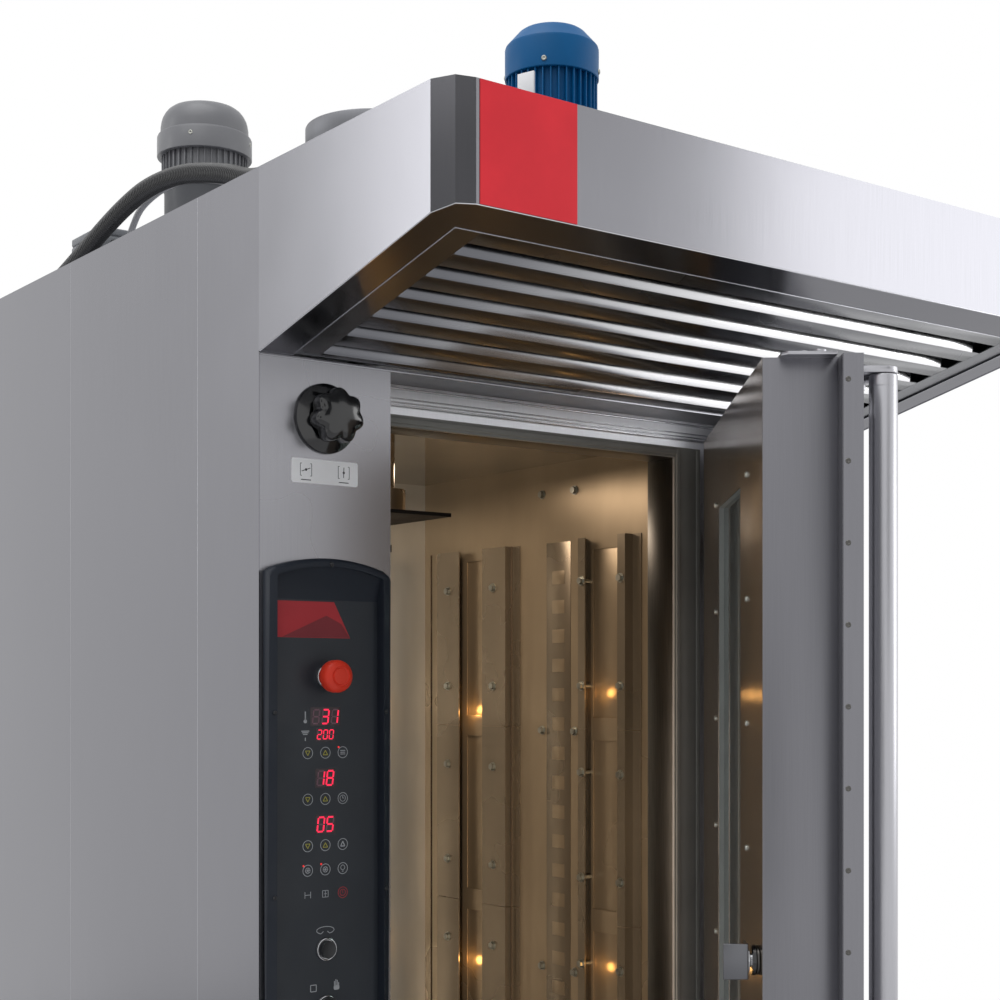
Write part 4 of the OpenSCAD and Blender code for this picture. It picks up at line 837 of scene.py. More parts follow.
def gear_unit():
    """Rack drive: ribbed worm-gear housing with a hollow hub and an upright motor."""
    low, high, hub = ROOF_Z + 14, ROOF_Z + 144, ROOF_Z + 156
    housing = block("gear_housing", (-80, -75, low), (200, 75, high), 9, 3)
    rib = block("gear_rib", (-70, -78, low + 12), (-66, 78, high - 12), 1.2)
    ribs = row(rib, [shift(k * 18) for k in range(1, 15)])
    lid = block("gear_lid", (-66, -61, high - 2), (66, 61, high + 4), 3)
    neck = turned("gear_hub", [(18.05, 0), (48, 0), (48, hub - low - 3), (45, hub - low),
                               (18.05, hub - low), (18.05, 0)], (0, 0, low), "Z", 64)
    flange = turned("gear_flange", [(0, 0), (60, 0), (60, 12), (56, 15), (0, 15)],
                    (138, 0, high - 1), "Z", 64)
    barrel = turned("gear_motor_barrel", [
        (0, 0), (45, 0), (45, 92), (52, 94), (52, 134), (48, 140), (38, 144), (0, 144)],
        (138, 0, hub), "Z", 64)
    fins = cooling_fins("gear_motor_fins", 28, 44, 51, 2, 95, 2.0)
    fins.data.transform(shift(138, 0, hub))
    unit = joined("gear_unit", [housing, ribs, lid, neck, flange, barrel, fins])
    finished(unit, "oven", FINISH["gear_enamel"], "grey_paint", "gear_motor")


def flue():
    """Exhaust spigot: rolled pipe with a bead, a lock seam and a riveted flange."""
    r, h = 95, 125
    pipe = turned("flue_spigot", [
        (r - 1.5, 0), (r + 18, 0), (r + 18, 2), (r + 2, 2), (r, 4), (r, 96), (r - 1, 98),
        (r - 1, 101), (r, 103), (r, h - 1.2), (r - 0.6, h), (r - 1.5, h - 0.8), (r - 1.5, 0)],
        (0, 0, 0), "Z", 96, 40)
    seam = block("flue_seam", (r - 1, -3.5, 4), (r + 0.2, 3.5, h - 2), 0.3)
    seam.data.transform(turn(70, "Z"))
    rivet = turned("flue_rivet", [(0, 0), (4, 0), (3.4, 1.6), (1.6, 2.5), (0, 2.7)],
                   (r + 10.5, 0, 2), "Z", 12)
    rivets = row(rivet, [turn(a, "Z") for a in range(45, 360, 45)])
    whole = joined("flue_spigot", [pipe, seam, rivets])
    whole.data.transform(shift(*FLUE_AT, ROOF_Z))
    finished(whole, "oven", FINISH["flue"], "plain_steel", "flue_pipe")


# ---------------------------------------------------------------- wiring on the roof

CONDUIT_X, CABLE_X = JBOX_AT[0] - 20, JBOX_AT[0] + 13
CONDUIT_ROUTE = [(-600, 30), (-534, 40), (-468, 62), (-402, 80), (-336, 94), (-270, 101),
                 (-204, 101), (-138, 92), (-72, 78), (-6, 61), (60, 44), (105, 34), (150, 30)]
CABLE_ROUTE = [(-500, 10), (-500, 26), (-482, 46), (-445, 62), (-390, 80), (-322, 99),
               (-221, 111), (-135, 102), (-96, 78), (-76, 50), (-70, 26), (-70, 10)]


def eased_run(x, route, steps):
    """A smooth run through the route's points, (distance from the box, height) in mm."""
    places = []
    for i in range(len(route) - 1):
        a, b, c, d = (Vector(route[min(max(i + k, 0), len(route) - 1)]) for k in (-1, 0, 1, 2))
        for k in range(steps):
            t = k / steps
            q = 0.5 * (2 * b + (c - a) * t + (2 * a - 5 * b + 4 * c - d) * t * t
                       + (3 * b - a - 3 * c + d) * t ** 3)
            places.append(q)
    places.append(Vector(route[-1]))
    return [(x, JBOX_AT[1] + q[0], ROOF_Z + q[1]) for q in places]


def ribbed_conduit():
    """Corrugated conduit: one rib is turned, repeated along a line and bent to the run."""
    run = eased_run(CONDUIT_X, CONDUIT_ROUTE, 6)
    length = sum((Vector(b) - Vector(a)).length for a, b in zip(run, run[1:]))
    count = round(length / 5.2)
    pitch = length / count
    rib = turned("roof_conduit_ribs", [
        (11.4, 0), (11.5, pitch * 0.12), (13.2, pitch * 0.3), (13.5, pitch * 0.45),
        (13.2, pitch * 0.68), (11.5, pitch * 0.88), (11.4, pitch)], (0, 0, 0), "Z", 20, 60)
    rib.data.transform(Matrix.Rotation(math.radians(90), 4, "Y"))
    modified(rib, "ARRAY", count=count, use_relative_offset=False, use_constant_offset=True,
             constant_offset_displace=(pitch / 1000, 0, 0), use_merge_vertices=True,
             merge_threshold=0.0002)
    track = chain("conduit_track", run, False)
    bpy.ops.object.convert(target="CURVE")
    track = bpy.context.object
    modified(rib, "CURVE", object=track, deform_axis="POS_X")
    bpy.data.objects.remove(track)
    outward(rib)
    take(rib)
    bpy.ops.object.shade_smooth_by_angle(angle=math.radians(60))
    finished(rib, "oven", FINISH["conduit"], "conduit_black", "roof_conduit")


def light_cable():
    """Grey sheathed cable between two roof glands."""
    cable = tube("roof_cable", eased_run(CABLE_X, CABLE_ROUTE, 5), 5, 16)
    finished(cable, "oven", FINISH["sheath"], "cable_grey", "grey_cable")


def hex_gland(name, at, away, length, r=11):
    """Cable gland: hexagon body and a domed nut, pointing along one axis."""
    gland = turned(name, [(0, 0), (r, 0), (r, length * 0.45), (r * 0.94, length * 0.5),
                          (0, length * 0.5)], (0, 0, 0), "Z", 6, 20)
    cap = turned(name + "_cap", [(0, length * 0.45), (r * 0.86, length * 0.45),
                                 (r * 0.86, length * 0.8), (r * 0.66, length), (0, length)],
                 (0, 0, 0), "Z", 24, 40)
    whole = joined(name, [gland, cap])
    if away == "-Y":
        whole.data.transform(Matrix.Rotation(math.radians(90), 4, "X"))
    whole.data.transform(shift(*at))
    return whole


def junction_case():
    """Junction box on two feet, with its lid, screws and glands, and the conduit's outlets."""
    x, y = JBOX_AT
    low = ROOF_Z + 40
    case = block("junction_case", (x, y, low), (x + 80, y + 110, low + 46), 2.5, 3)
    lid = block("case_lid", (x, y, low + 47), (x + 80, y + 110, low + 60), 3, 3)
    seal = block("case_seal", (x + 1.5, y + 1.5, low + 44), (x + 78.5, y + 108.5, low + 50), 0.5)
    feet = [block("case_foot", (x + fx, y + 30, ROOF_Z), (x + fx + 12, y + 80, low + 2), 1)
            for fx in (8, 60)]
    finished(joined("junction_case", [case, lid, seal] + feet), "oven", FINISH["grey_box"],
             "dark_steel", "junction_box")
    screw = screw_head("case_screws", 3.2, (x + 8, y + 8, low + 59))
    screws = row(screw, [shift(64), shift(0, 94), shift(64, 94)])
    finished(screws, "oven", FINISH["zinc"], "plain_steel")
    glands = [hex_gland("cable_glands", (x + gx, y, low + 30), "-Y", 14) for gx in (26, 58)]
    glands += [hex_gland("roof_gland", (CABLE_X, y + gy, ROOF_Z), "Z", 10) for gy in (-500, -70)]
    finished(joined("cable_glands", glands), "oven", FINISH["nylon"], "dark_steel")
    outlets = []
    for oy in (-636.5, 151.7):
        outlets.append(block("conduit_outlets", (CONDUIT_X - 15, y + oy, ROOF_Z),
                             (CONDUIT_X + 15, y + oy + 34, ROOF_Z + 38), 2, 3))
    finished(joined("conduit_outlets", outlets), "oven", FINISH["grey_box"], "dark_steel")


# ---------------------------------------------------------------- hood


def hood_height(y):
    """Height of the hood's open side at a depth."""
    return HOOD_REAR_Z + HOOD_SLOPE * (FRONT_Y - y)


def sloped(piece):
    """From flat, with y the distance down the slope, to its place under the hood."""
    piece.data.transform(Matrix.Rotation(-math.atan(HOOD_SLOPE), 4, "X"))
    piece.data.transform(shift(0, FRONT_Y, HOOD_REAR_Z))
    return piece


def grease_baffle():
    """Baffle sheet with six slots, each with a flap bent up along its rear edge."""
    half, slot_half, pitch, wide = 507, 457, 55.4, 26
    lean = 1 / math.cos(math.atan(HOOD_SLOPE))
    far = 357 * lean
    rear = [(14 + pitch * i) * lean for i in range(6)]
    fronts = [w + wide * lean for w in rear]
    sheets = [block("grease_baffle", (-half, -far, 1.6), (-slot_half, -1, 3.1), 0.2, 1),
              block("sheet", (slot_half, -far, 1.6), (half, -1, 3.1), 0.2, 1)]
    for a, b in zip([1] + fronts, rear + [far]):
        sheets.append(block("sheet", (-slot_half - 0.2, -b, 1.6), (slot_half + 0.2, -a, 3.1), 0.6))
    finished(sloped(joined("grease_baffle", sheets)), "oven", FINISH["baffle"], "baffle_steel",
             "hood_baffle")
    flaps = []
    for i in range(6):
        y = FRONT_Y - 14 - pitch * i
        z = hood_height(y) + 1.6
        flap = block("baffle_flaps", (-slot_half + 1, y - 0.4, z - 0.6),
                     (slot_half - 17, y + 1.0, z + 20), 0.5)
        flap.data.transform(turn(11, "X", (0, y, z)))
        flaps.append(flap)
    finished(joined("baffle_flaps", flaps), "oven", FINISH["slot_flap"], "baffle_steel")


def hood_hems():
    """Rolled hem round the hood's lower edge, the lip's inner edge and the closing strip
    over the columns. The hem and the lip's edge are painted bright: a painted highlight."""
    outline = [(-536.7, -560), (-536.7, -922.7), (-524.0, -948.1), (-502.8, -953.8),
               (502.8, -953.8), (524.0, -948.1), (536.7, -922.7), (536.7, -560)]
    hem = tube("hood_hem", [(x, y, hood_height(y) + 0.3) for x, y in outline], 1.2, 10)
    reach = 344 / math.cos(math.atan(HOOD_SLOPE))
    # the lip's edge: a thin strip painted bright, a painted highlight
    lips = [block("lip_highlight", (-494, -reach - 1.6, -0.7), (494, -reach, 0.4), 0.3)]
    for a, b in ((-494, -492.4), (492.4, 494)):
        lips.append(block("lip_highlight", (a, -reach + 0.2, -0.7), (b, -2, 0.4), 0.3))
    lip = sloped(joined("lip_highlight", lips))
    finished(joined("hood_hem", [hem, lip]), "oven", FINISH["flap"], "polished_steel")
    strip = block("column_cap", (-536.2, FRONT_Y + 0.1, 1974.2), (500, FRONT_Y + 1.5, 1977.8), 0.3)
    finished(strip, "oven", FINISH["hood"], "brushed_steel")


# ---------------------------------------------------------------- door


def flat(name, outline, low, high, edge=0.8):
    """A plate lying level, cut to an outline of (x, y), between two heights."""
    piece = chain(name, [(x, y, (low + high) / 2) for x, y in outline], True)
    modified(piece, "SOLIDIFY", thickness=(high - low) / 1000, offset=0)
    outward(piece)
    return softened(piece, edge, 2)


def around_two(a, ra, b, rb, steps=10):
    """Outline round two circles."""
    a, b = Vector(a), Vector(b)
    line = b - a
    along = math.atan2(line.y, line.x)
    lean = math.acos((ra - rb) / line.length)
    points = []
    for k in range(steps + 1):
        t = along + lean + (2 * math.pi - 2 * lean) * k / steps
        points.append((a.x + ra * math.cos(t), a.y + ra * math.sin(t)))
    for k in range(steps + 1):
        t = along - lean + 2 * lean * k / steps
        points.append((b.x + rb * math.cos(t), b.y + rb * math.sin(t)))
    return points


def door_frame():
    """Frame behind the door: plate with a notch for the latch, folded returns and the rails
    over the door's top."""
    lx, lz = LATCH_AT
    notch = [(OPEN_LEFT, lz + NOTCH_R)]
    for k in range(13):
        a = math.radians(90 + 15 * k)
        notch.append((lx + NOTCH_R * math.cos(a), lz + NOTCH_R * math.sin(a)))
    notch.append((OPEN_LEFT, lz - NOTCH_R))
    outline = [(-FRAME_HALF, BASE_Z), (-FRAME_HALF, FRAME_TOP), (FRAME_HALF, FRAME_TOP),
               (FRAME_HALF, BASE_Z), (OPEN_RIGHT, BASE_Z), (OPEN_RIGHT, OPEN_TOP),
               (OPEN_LEFT, OPEN_TOP)] + notch + [
                   (OPEN_LEFT, SILL), (RAMP_LEFT, SILL), (RAMP_LEFT, BASE_Z)]
    sheet = plate("door_frame", outline, FRAME_Y, 3.0)
    finished(sheet, "oven", FINISH["frame"], "frame_steel", "door_frame")
    returns = [block("frame_returns", (OPEN_LEFT - 1.5, FRAME_Y + 3, low), (OPEN_LEFT, RETURN_Y, high),
                     0.5) for low, high in ((SILL, lz - 36), (lz + 36, OPEN_TOP))]
    returns.append(block("return", (OPEN_RIGHT, FRAME_Y + 3, SILL), (OPEN_RIGHT + 1.5, RETURN_Y,
                                                                     OPEN_TOP), 0.5))
    returns.append(block("return", (OPEN_LEFT - 1.5, FRAME_Y + 3, OPEN_TOP),
                         (OPEN_RIGHT + 1.5, RETURN_Y, OPEN_TOP + 1.5), 0.5))
    finished(joined("frame_returns", returns), "oven", FINISH["jamb"], "frame_steel")
    rails = [block("header_rails", (-347.6, FRAME_Y - deep, low), (334, FRAME_Y - 0.1, high), 0.4)
             for deep, low, high in ((7, 1951, 1953), (3.5, 1956, 1957.6), (5, 1961, 1962.4),
                                     (6, 1973.4, 1975.8))]
    finished(joined("header_rails", rails), "oven", FINISH["flap"], "frame_steel")


def panel_seams():
    """Thin strips in the seams of the side panels, painted bright: a painted highlight on the folded
    edges.
    """
    strips = []
    for side in (-1, 1):
        x0, x1 = sorted((side * 536.8, side * 537.95))
        for y in (FRONT_Y + 162, FRONT_Y + 573, FRONT_Y + 1026):
            strips.append(block("panel_seams", (x0, y - 0.7, 1), (x1, y + 0.7, ROOF_Z - 0.2), 0.2))
    finished(joined("panel_seams", strips), "oven", FINISH["flap"], "brushed_steel")


def frame_seal():
    """Silicone seal round the opening, open at the latch: bulbs on a flat foot."""
    pieces = []
    latch_z = LATCH_AT[1]
    for a, b, low, high in ((OPEN_LEFT - 22, OPEN_LEFT, SILL, latch_z - 38),
                            (OPEN_LEFT - 22, OPEN_LEFT, latch_z + 38, SEAL_TOP),
                            (OPEN_RIGHT, OPEN_RIGHT + 53, SILL, SEAL_TOP)):
        pieces.append(block("frame_seal", (a, FRAME_Y - 2.2, low), (b, FRAME_Y - 0.1, high), 0.6))
        for m in (a + 6, b - 6):
            pieces.append(block("bulb", (m - 4, FRAME_Y - 4.7, low + 0.2),
                                (m + 4, FRAME_Y - 1.9, high - 2), 1.3, 3))
    pieces.append(block("head", (OPEN_LEFT, FRAME_Y - 2.2, OPEN_TOP), (OPEN_RIGHT, FRAME_Y - 0.1,
                                                                       SEAL_TOP), 0.6))
    pieces.append(block("head_bulb", (OPEN_LEFT - 2, FRAME_Y - 4.7, OPEN_TOP + 4),
                        (OPEN_RIGHT + 2, FRAME_Y - 1.9, OPEN_TOP + 12), 1.3, 3))
    finished(joined("frame_seal", pieces), "oven", FINISH["frame_seal"], "seal_rubber",
             "frame_gasket")


def chamber_trim():
    """Sheets behind the louvres' gaps, rolled edges of the strips, a cover strip between the bolt
    rows with a row of lighter tabs, a painted reflection of perforations, and the steam tube
    inside the head of the opening."""
    low, high, pitch = 153, 1836, 337
    sheets = []
    beads = []
    covers = []
    reflection_rows = []
    for side in (-1, 1):
        def span(a, b):
            """A pair of X values in rising order on this side."""
            return sorted((side * a, side * b))
        x0, x1 = span(394.5, 395.6)
        for a, b in ((224, 308), (-168, -73)):
            one = block("gap_sheets", (x0, a, low), (x1, b, low + pitch - 2), 0.4)
            sheets.append(row(one, [shift(0, 0, pitch * k) for k in range(1, 5)]))
        for y in (397.6, 135.6):
            beads.append(tube("louvre_beads", [(side * 372, y, low + 2), (side * 372, y, high - 1)],
                              1.9, 10))
        x0, x1 = span(391.3, 391.95)
        covers.append(block("cover_strip", (x0, -14, low), (x1, 55, high), 0.2))
        x0, x1 = span(390.8, 391.5)
        # lighter tabs down the cover strip: a painted reflection of perforations
        reflection_square = block("reflection_squares", (x0, 3, 170), (x1, 38, 194), 0.3)
        reflection_rows.append(row(reflection_square, [shift(0, 0, 53 * k) for k in range(1, 31)]))
    finished(joined("reflection_squares", reflection_rows), "oven", FINISH["chamber"], "chamber_steel")
    finished(joined("gap_sheets", sheets), "oven", FINISH["chamber"], "chamber_steel")
    finished(joined("louvre_beads", beads), "oven", FINISH["liner"], "chamber_steel")
    finished(joined("cover_strip", covers), "oven", FINISH["louvre"], "chamber_steel")
    pipe = tube("steam_tube", [(-280, -392, 1934), (227, -392, 1934)], 6.5, 20)
    clamp = turned("steam_clamp", [(6.4, 0), (8, 0.4), (8, 7.6), (6.4, 8), (6.4, 0)], (0, 0, 0),
                   "Z", 28)
    clamp.data.transform(Matrix.Rotation(math.radians(90), 4, "Y"))
    clamp.data.transform(shift(-196, -392, 1934))
    clamps = row(clamp, [shift(22), shift(150), shift(222), shift(330)])
    finished(joined("steam_tube", [pipe, clamps]), "oven", FINISH["liner"], "chamber_steel")


def door_edge():
    """Cover strip on the free edge of the door's box, with its folded ends."""
    strip = block("door_edge_strip", (BOX_FREE_X - 0.9, DOOR_BOX_Y + 0.2, DOOR_LOW + 0.1),
                  (BOX_FREE_X + 0.4, DOOR_IN_Y - 0.1, DOOR_TOP - 0.1), 0.5)
    open_door(strip)
    finished(strip, "door", FINISH["edge"], "brushed_steel")
    lid = block("door_top_strip", (BOX_FREE_X - 0.8, DOOR_BOX_Y + 0.3, DOOR_TOP - 0.4),
                (300, DOOR_IN_Y - 0.2, DOOR_TOP + 0.6), 0.4)
    open_door(lid)
    finished(lid, "door", FINISH["edge"], "brushed_steel")
    back = block("skin_overhang", (SKIN_FREE_X + 0.4, DOOR_BOX_Y + 0.03, DOOR_LOW + 0.4),
                 (BOX_FREE_X - 0.95, DOOR_BOX_Y + 0.8, DOOR_TOP - 0.4), 0.3)
    open_door(back)
    finished(back, "door", FINISH["edge"], "brushed_steel")


def edge_screws():
    """Countersunk cross-head screws down the skin's free edge, and the latch bush."""
    depth = DOOR_BOX_Y - 5.5
    seat = turned("edge_screws", [(0, 0.1), (0.9, 0.1), (1.5, 0.5), (2.6, 0.45), (3.1, 0.1),
                                  (3.3, -0.5), (0, -0.5)], (0, 0, 0), "Z", 20)
    seat.data.transform(Matrix.Rotation(math.radians(-90), 4, "Y"))
    seat.data.transform(shift(SKIN_FREE_X - 0.2, depth, DOOR_TOP - 29))
    screws = row(seat, [shift(0, 0, -90.7 * k) for k in range(1, 20)])
    bush = turned("latch_bush", [(8.1, 0), (17, 0), (17, 2), (16, 3), (8.1, 3), (8.1, 0)],
                  (LATCH_AT[0], DOOR_IN_Y + 3.1, LATCH_AT[1]), "Y", 40)
    core = turned("latch_sleeve", [(8.1, 0), (12, 0), (12, 85), (8.1, 85), (8.1, 0)],
                  (LATCH_AT[0], DOOR_IN_Y, LATCH_AT[1]), "Y", 40)
    whole = open_door(joined("edge_screws", [screws, bush, core]))
    finished(whole, "door", FINISH["jamb"], "plain_steel", "door_fittings")


def catch_plate():
    """Catch on the door's top edge: plate, curved tongue, and its pivot bolt."""
    x0, y0 = SKIN_FREE_X, DOOR_OUT_Y
    base = flat("top_catch", [(x0 + 9, y0 + 27), (x0 + 77, y0 + 27), (x0 + 77, y0 + 82),
                              (x0 + 70, y0 + 89), (x0 + 16, y0 + 89), (x0 + 9, y0 + 82)],
                DOOR_TOP + 0.1, DOOR_TOP + 4, 0.6)
    tongue = flat("catch_tongue", around_two((x0 + 52, y0 + 58), 12.5, (x0 + 24, y0 + 44), 7),
                  DOOR_TOP + 4.2, DOOR_TOP + 8, 0.7)
    bolt = turned("catch_bolt", [(0, 0), (7, 0), (7, 3.0), (6.2, 3.8), (0, 3.8)],
                  (x0 + 52, y0 + 58, DOOR_TOP + 8), "Z", 6, 20)
    whole = joined("top_catch", [base, tongue, bolt])
    finished(open_door(whole), "door", FINISH["ground"], "plain_steel")


def inner_screws():
    """Pan-head screws that hold the liner, in two rows beside the window."""
    head = screw_head("liner_screws", 4.0, (158.6, DOOR_IN_Y, 180), "Y")
    head.data.transform(turn(180, "Z", (158.6, DOOR_IN_Y, 0)))
    heads = row(head, [shift(dx, 0, 150 * k) for k in range(12) for dx in (0, -341)
                       if dx or k])
    finished(open_door(heads), "door", FINISH["zinc"], "plain_steel")


def pull_handle():
    """Handle tube with closed ends and an arm at each end on its pivot pin."""
    x, y, r = -258.4, -612, 16.5
    top, low = 1935.7, 434
    bar = turned("pull_handle", [
        (0, low), (r - 2, low), (r - 0.6, low + 0.6), (r, low + 2), (r, top - 2),
        (r - 0.6, top - 0.6), (r - 2, top), (0, top)], (x, y, 0), "Z", 48, 30)
    ring = [(r - 0.4, 0), (r + 0.05, 0.3), (r + 0.05, 1.1), (r - 0.4, 1.4), (r - 0.4, 0)]
    seams = [turned("handle_seam", ring, (x, y, z), "Z", 48, 30) for z in (low + 14, top - 15)]
    arm = around_two((x, y), r - 4, (-228.4, -592), 10)
    arms = []
    for a, b in ((top - 6, top - 0.05), (low + 0.05, low + 6)):
        arms.append(flat("handle_arm", arm, a, b, 0.6))
    whole = joined("pull_handle", [bar] + seams + arms)
    finished(open_door(whole), "handle", FINISH["ground"], "polished_steel", "door_handle")


def handle_carriers():
    """Plates past both ends of the handle: rounded nose, folded foot, pin and bolts."""
    x, y = -258.4, -612
    plates = []
    bolts = []
    for low, high, foot_low, foot_high in ((1936, 1944, 1896, 1944), (425.7, 433.7, 425.7, 465.7)):
        nose = [(x + 16.5 * math.cos(math.radians(a)), y + 16.5 * math.sin(math.radians(a)))
                for a in range(180, 271, 10)]
        outline = nose + [(-228.4, y - 16.5), (-220, y - 14), (-212, y - 4), (-212, -572.2),
                          (x - 16.5, -572.2)]
        plates.append(flat("handle_carriers", outline, low, high, 1.2))
        plates.append(block("carrier_foot", (x - 16.5, -576, foot_low), (-212, -572, foot_high), 1))
        for bx in (x - 6, -222):
            bolts.append(turned("carrier_bolts", [(0, 0), (5.5, 0), (5.5, 2.6), (4.8, 3.4), (0, 3.4)],
                                (bx, -576, (foot_low + foot_high) / 2
                                 + (6 if low < 1000 else -6)), "Y", 6, 20))
    pins = [turned("carrier_pin", [(0, a), (4.9, a), (4.9, b), (0, b)], (-228.4, -592, 0), "Z", 24)
            for a, b in ((1923.4, 1937), (433, 446.3))]
    whole = joined("handle_carriers", plates + pins)
    finished(open_door(whole), "door", FINISH["ground"], "plain_steel", "handle_brackets")
    finished(open_door(joined("carrier_bolts", bolts)), "door", FINISH["zinc"], "plain_steel")


def latch():
    """Latch: turned shaft, rubber washer, nut and a bright tongue bent from sheet."""
    x, z = LATCH_AT
    tip = DOOR_IN_Y + 42
    shaft = turned("latch_shaft", [(0, 0), (7.9, 0), (7.9, 91), (0, 91)],
                   (x, tip - 21, z), "Y", 32)
    neck = turned("latch_nut", [(0, 0), (13, 0), (13, 6), (11.8, 7), (0, 7)],
                  (x, tip - 24.5, z), "Y", 6, 20)
    finished(open_door(joined("latch_shaft", [shaft, neck])), "latch", FINISH["turned"],
             "polished_steel")
    washer = turned("latch_washer", [(8, 0), (16.4, 0), (17.4, 1.2), (17.4, 4.4), (16.4, 5.6),
                                     (8, 5.6), (8, 0)], (x, DOOR_IN_Y + 8.9, z), "Y", 40)
    finished(open_door(washer), "latch", FINISH["phenolic"], "seal_rubber")
    side = block("latch_blade", (x - 14, tip - 29, z - 20.5), (x - 11, tip, z + 20.5), 1.2, 3)
    back = block("blade_back", (x - 14, tip - 29, z - 20.5), (x + 14, tip - 26, z + 20.5), 1.2, 3)
    blade = joined("latch_blade", [side, back])
    finished(open_door(blade), "latch", FINISH["blade"], "polished_steel", "latch_tongue")


# ---------------------------------------------------------------- controls on the column


def star_knob():
    """Seven-lobed knob with a domed face, and the dished ring behind it."""
    x, z = KNOB_AT
    r, lobes, sides = 34.5, 7, 112

    def lobed(share, depth):
        """A ring of the knob's outline at a share of its size; lobes fade to the middle."""
        points = []
        for i in range(sides):
            a = 2 * math.pi * i / sides
            wave = 5.8 * share ** 3 * (((1 + math.cos(lobes * a)) / 2) ** 0.75 - 1)
            q = r * share + wave
            points.append((x + q * math.sin(a), FRONT_Y - depth, z + q * math.cos(a)))
        return points

    steps = [(0.30, 16), (0.80, 16), (0.93, 17.5), (0.985, 20), (1.0, 24), (1.0, 33),
             (0.985, 36.4), (0.95, 38.8), (0.88, 40.9), (0.76, 42.7), (0.56, 44.2), (0.3, 45)]
    knob = chain("star_knob", lobed(*steps[0]), True)
    for share, depth in steps[1:]:
        bpy.ops.object.mode_set(mode="EDIT")
        bpy.ops.mesh.extrude_region_move(TRANSFORM_OT_translate={"value": (0, 0, 0)})
        shape = bmesh.from_edit_mesh(knob.data)
        middle = Vector(metres((x, 0, z)))
        chosen = [v for v in shape.verts if v.select]
        chosen.sort(key=lambda v: math.atan2(v.co.x - middle.x, v.co.z - middle.z) % (2 * math.pi))
        for vertex, place in zip(chosen, lobed(share, depth)):
            vertex.co = metres(place)
        bmesh.update_edit_mesh(knob.data)
        leave()
    outward(knob)
    take(knob)
    bpy.ops.object.shade_smooth_by_angle(angle=math.radians(50))
    finished(knob, "damper", FINISH["phenolic"], "black_gloss", "damper_knob")
    neck = turned("knob_neck", [(0, 1), (9, 1), (9, 16.5), (0, 16.5)], (x, FRONT_Y, z), "Y", 40)
    finished(neck, "damper", FINISH["nylon"], "black_gloss")
    ring = turned("knob_ring", [
        (9.1, 0), (43.5, 0), (43.5, 3), (42.6, 5.2), (29, 11.2), (27.4, 11.6), (25.8, 10.9),
        (24.8, 8.4), (9.1, 8.4), (9.1, 0)], (x, FRONT_Y, z), "Y", 72, 40)
    finished(ring, "oven", FINISH["phenolic"], "black_gloss", "knob_bezel")


def rounded(x0, x1, z0, z1, r, steps=6):
    """The outline of a rectangle with round corners."""
    points = []
    for cx, cz, start in ((x1 - r, z1 - r, 0), (x0 + r, z1 - r, 90),
                          (x0 + r, z0 + r, 180), (x1 - r, z0 + r, 270)):
        for k in range(steps + 1):
            a = math.radians(start + 90 * k / steps)
            points.append((cx + r * math.cos(a), cz + r * math.sin(a)))
    return points


def ring_mark(name, x, z, r, width):
    """A thin printed ring on the key film."""
    return turned(name, [(r - width, 0), (r, 0), (r, 0.15), (r - width, 0.15), (r - width, 0)],
                  (x, PANEL_Y + 0.02, z), "Y", 28)


def stroke(name, a, b, width, y=PANEL_Y, thick=0.15):
    """A thin printed bar between two points of the film."""
    (ax, az), (bx, bz) = a, b
    length = math.hypot(bx - ax, bz - az) or 1
    nx, nz = -(bz - az) / length * width / 2, (bx - ax) / length * width / 2
    return plate(name, [(ax + nx, az + nz), (ax - nx, az - nz), (bx - nx, bz - nz),
                        (bx + nx, bz + nz)], y - thick, thick + 0.02)


def damper_label():
    """Silver label under the knob: the damper shown shut on the left and open on the right."""
    x, z = KNOB_AT[0], 1839
    card = plate("damper_label", rounded(x - 47.5, x + 47.5, z - 15, z + 15, 3), FRONT_Y - 0.5,
                 0.5)
    finished(card, "oven", FINISH["silver_label"], "plain_steel")
    y = FRONT_Y - 0.5
    marks = []
    for side, tilt in ((-1, 20), (1, 88)):
        cx = x + side * 27
        for edge in (-1, 1):
            a = cx + edge * 8
            marks.append(stroke("mark", (a, z - 6), (a, z + 9), 0.7, y))
            marks.append(stroke("mark", (a, z + 9), (a - edge * 2, z + 9), 0.7, y))
            marks.append(stroke("mark", (a, z - 6), (a - edge * 2, z - 6), 0.7, y))
        c, s = math.cos(math.radians(tilt)) * 6.5, math.sin(math.radians(tilt)) * 6.5
        marks.append(stroke("mark", (cx - c, z + 1.5 - s), (cx + c, z + 1.5 + s), 0.9, y))
        marks.append(turned("mark", [(0, 0), (1.6, 0), (1.6, 0.2), (0, 0.2)],
                            (cx, y, z + 1.5), "Y", 16))
        marks.append(stroke("mark", (cx - 7, z - 11), (cx + 7, z - 11), 1.1, y))
    ink = joined("damper_label_marks", marks)
    finished(ink, "oven", FINISH["black_ink"], "plain_steel")


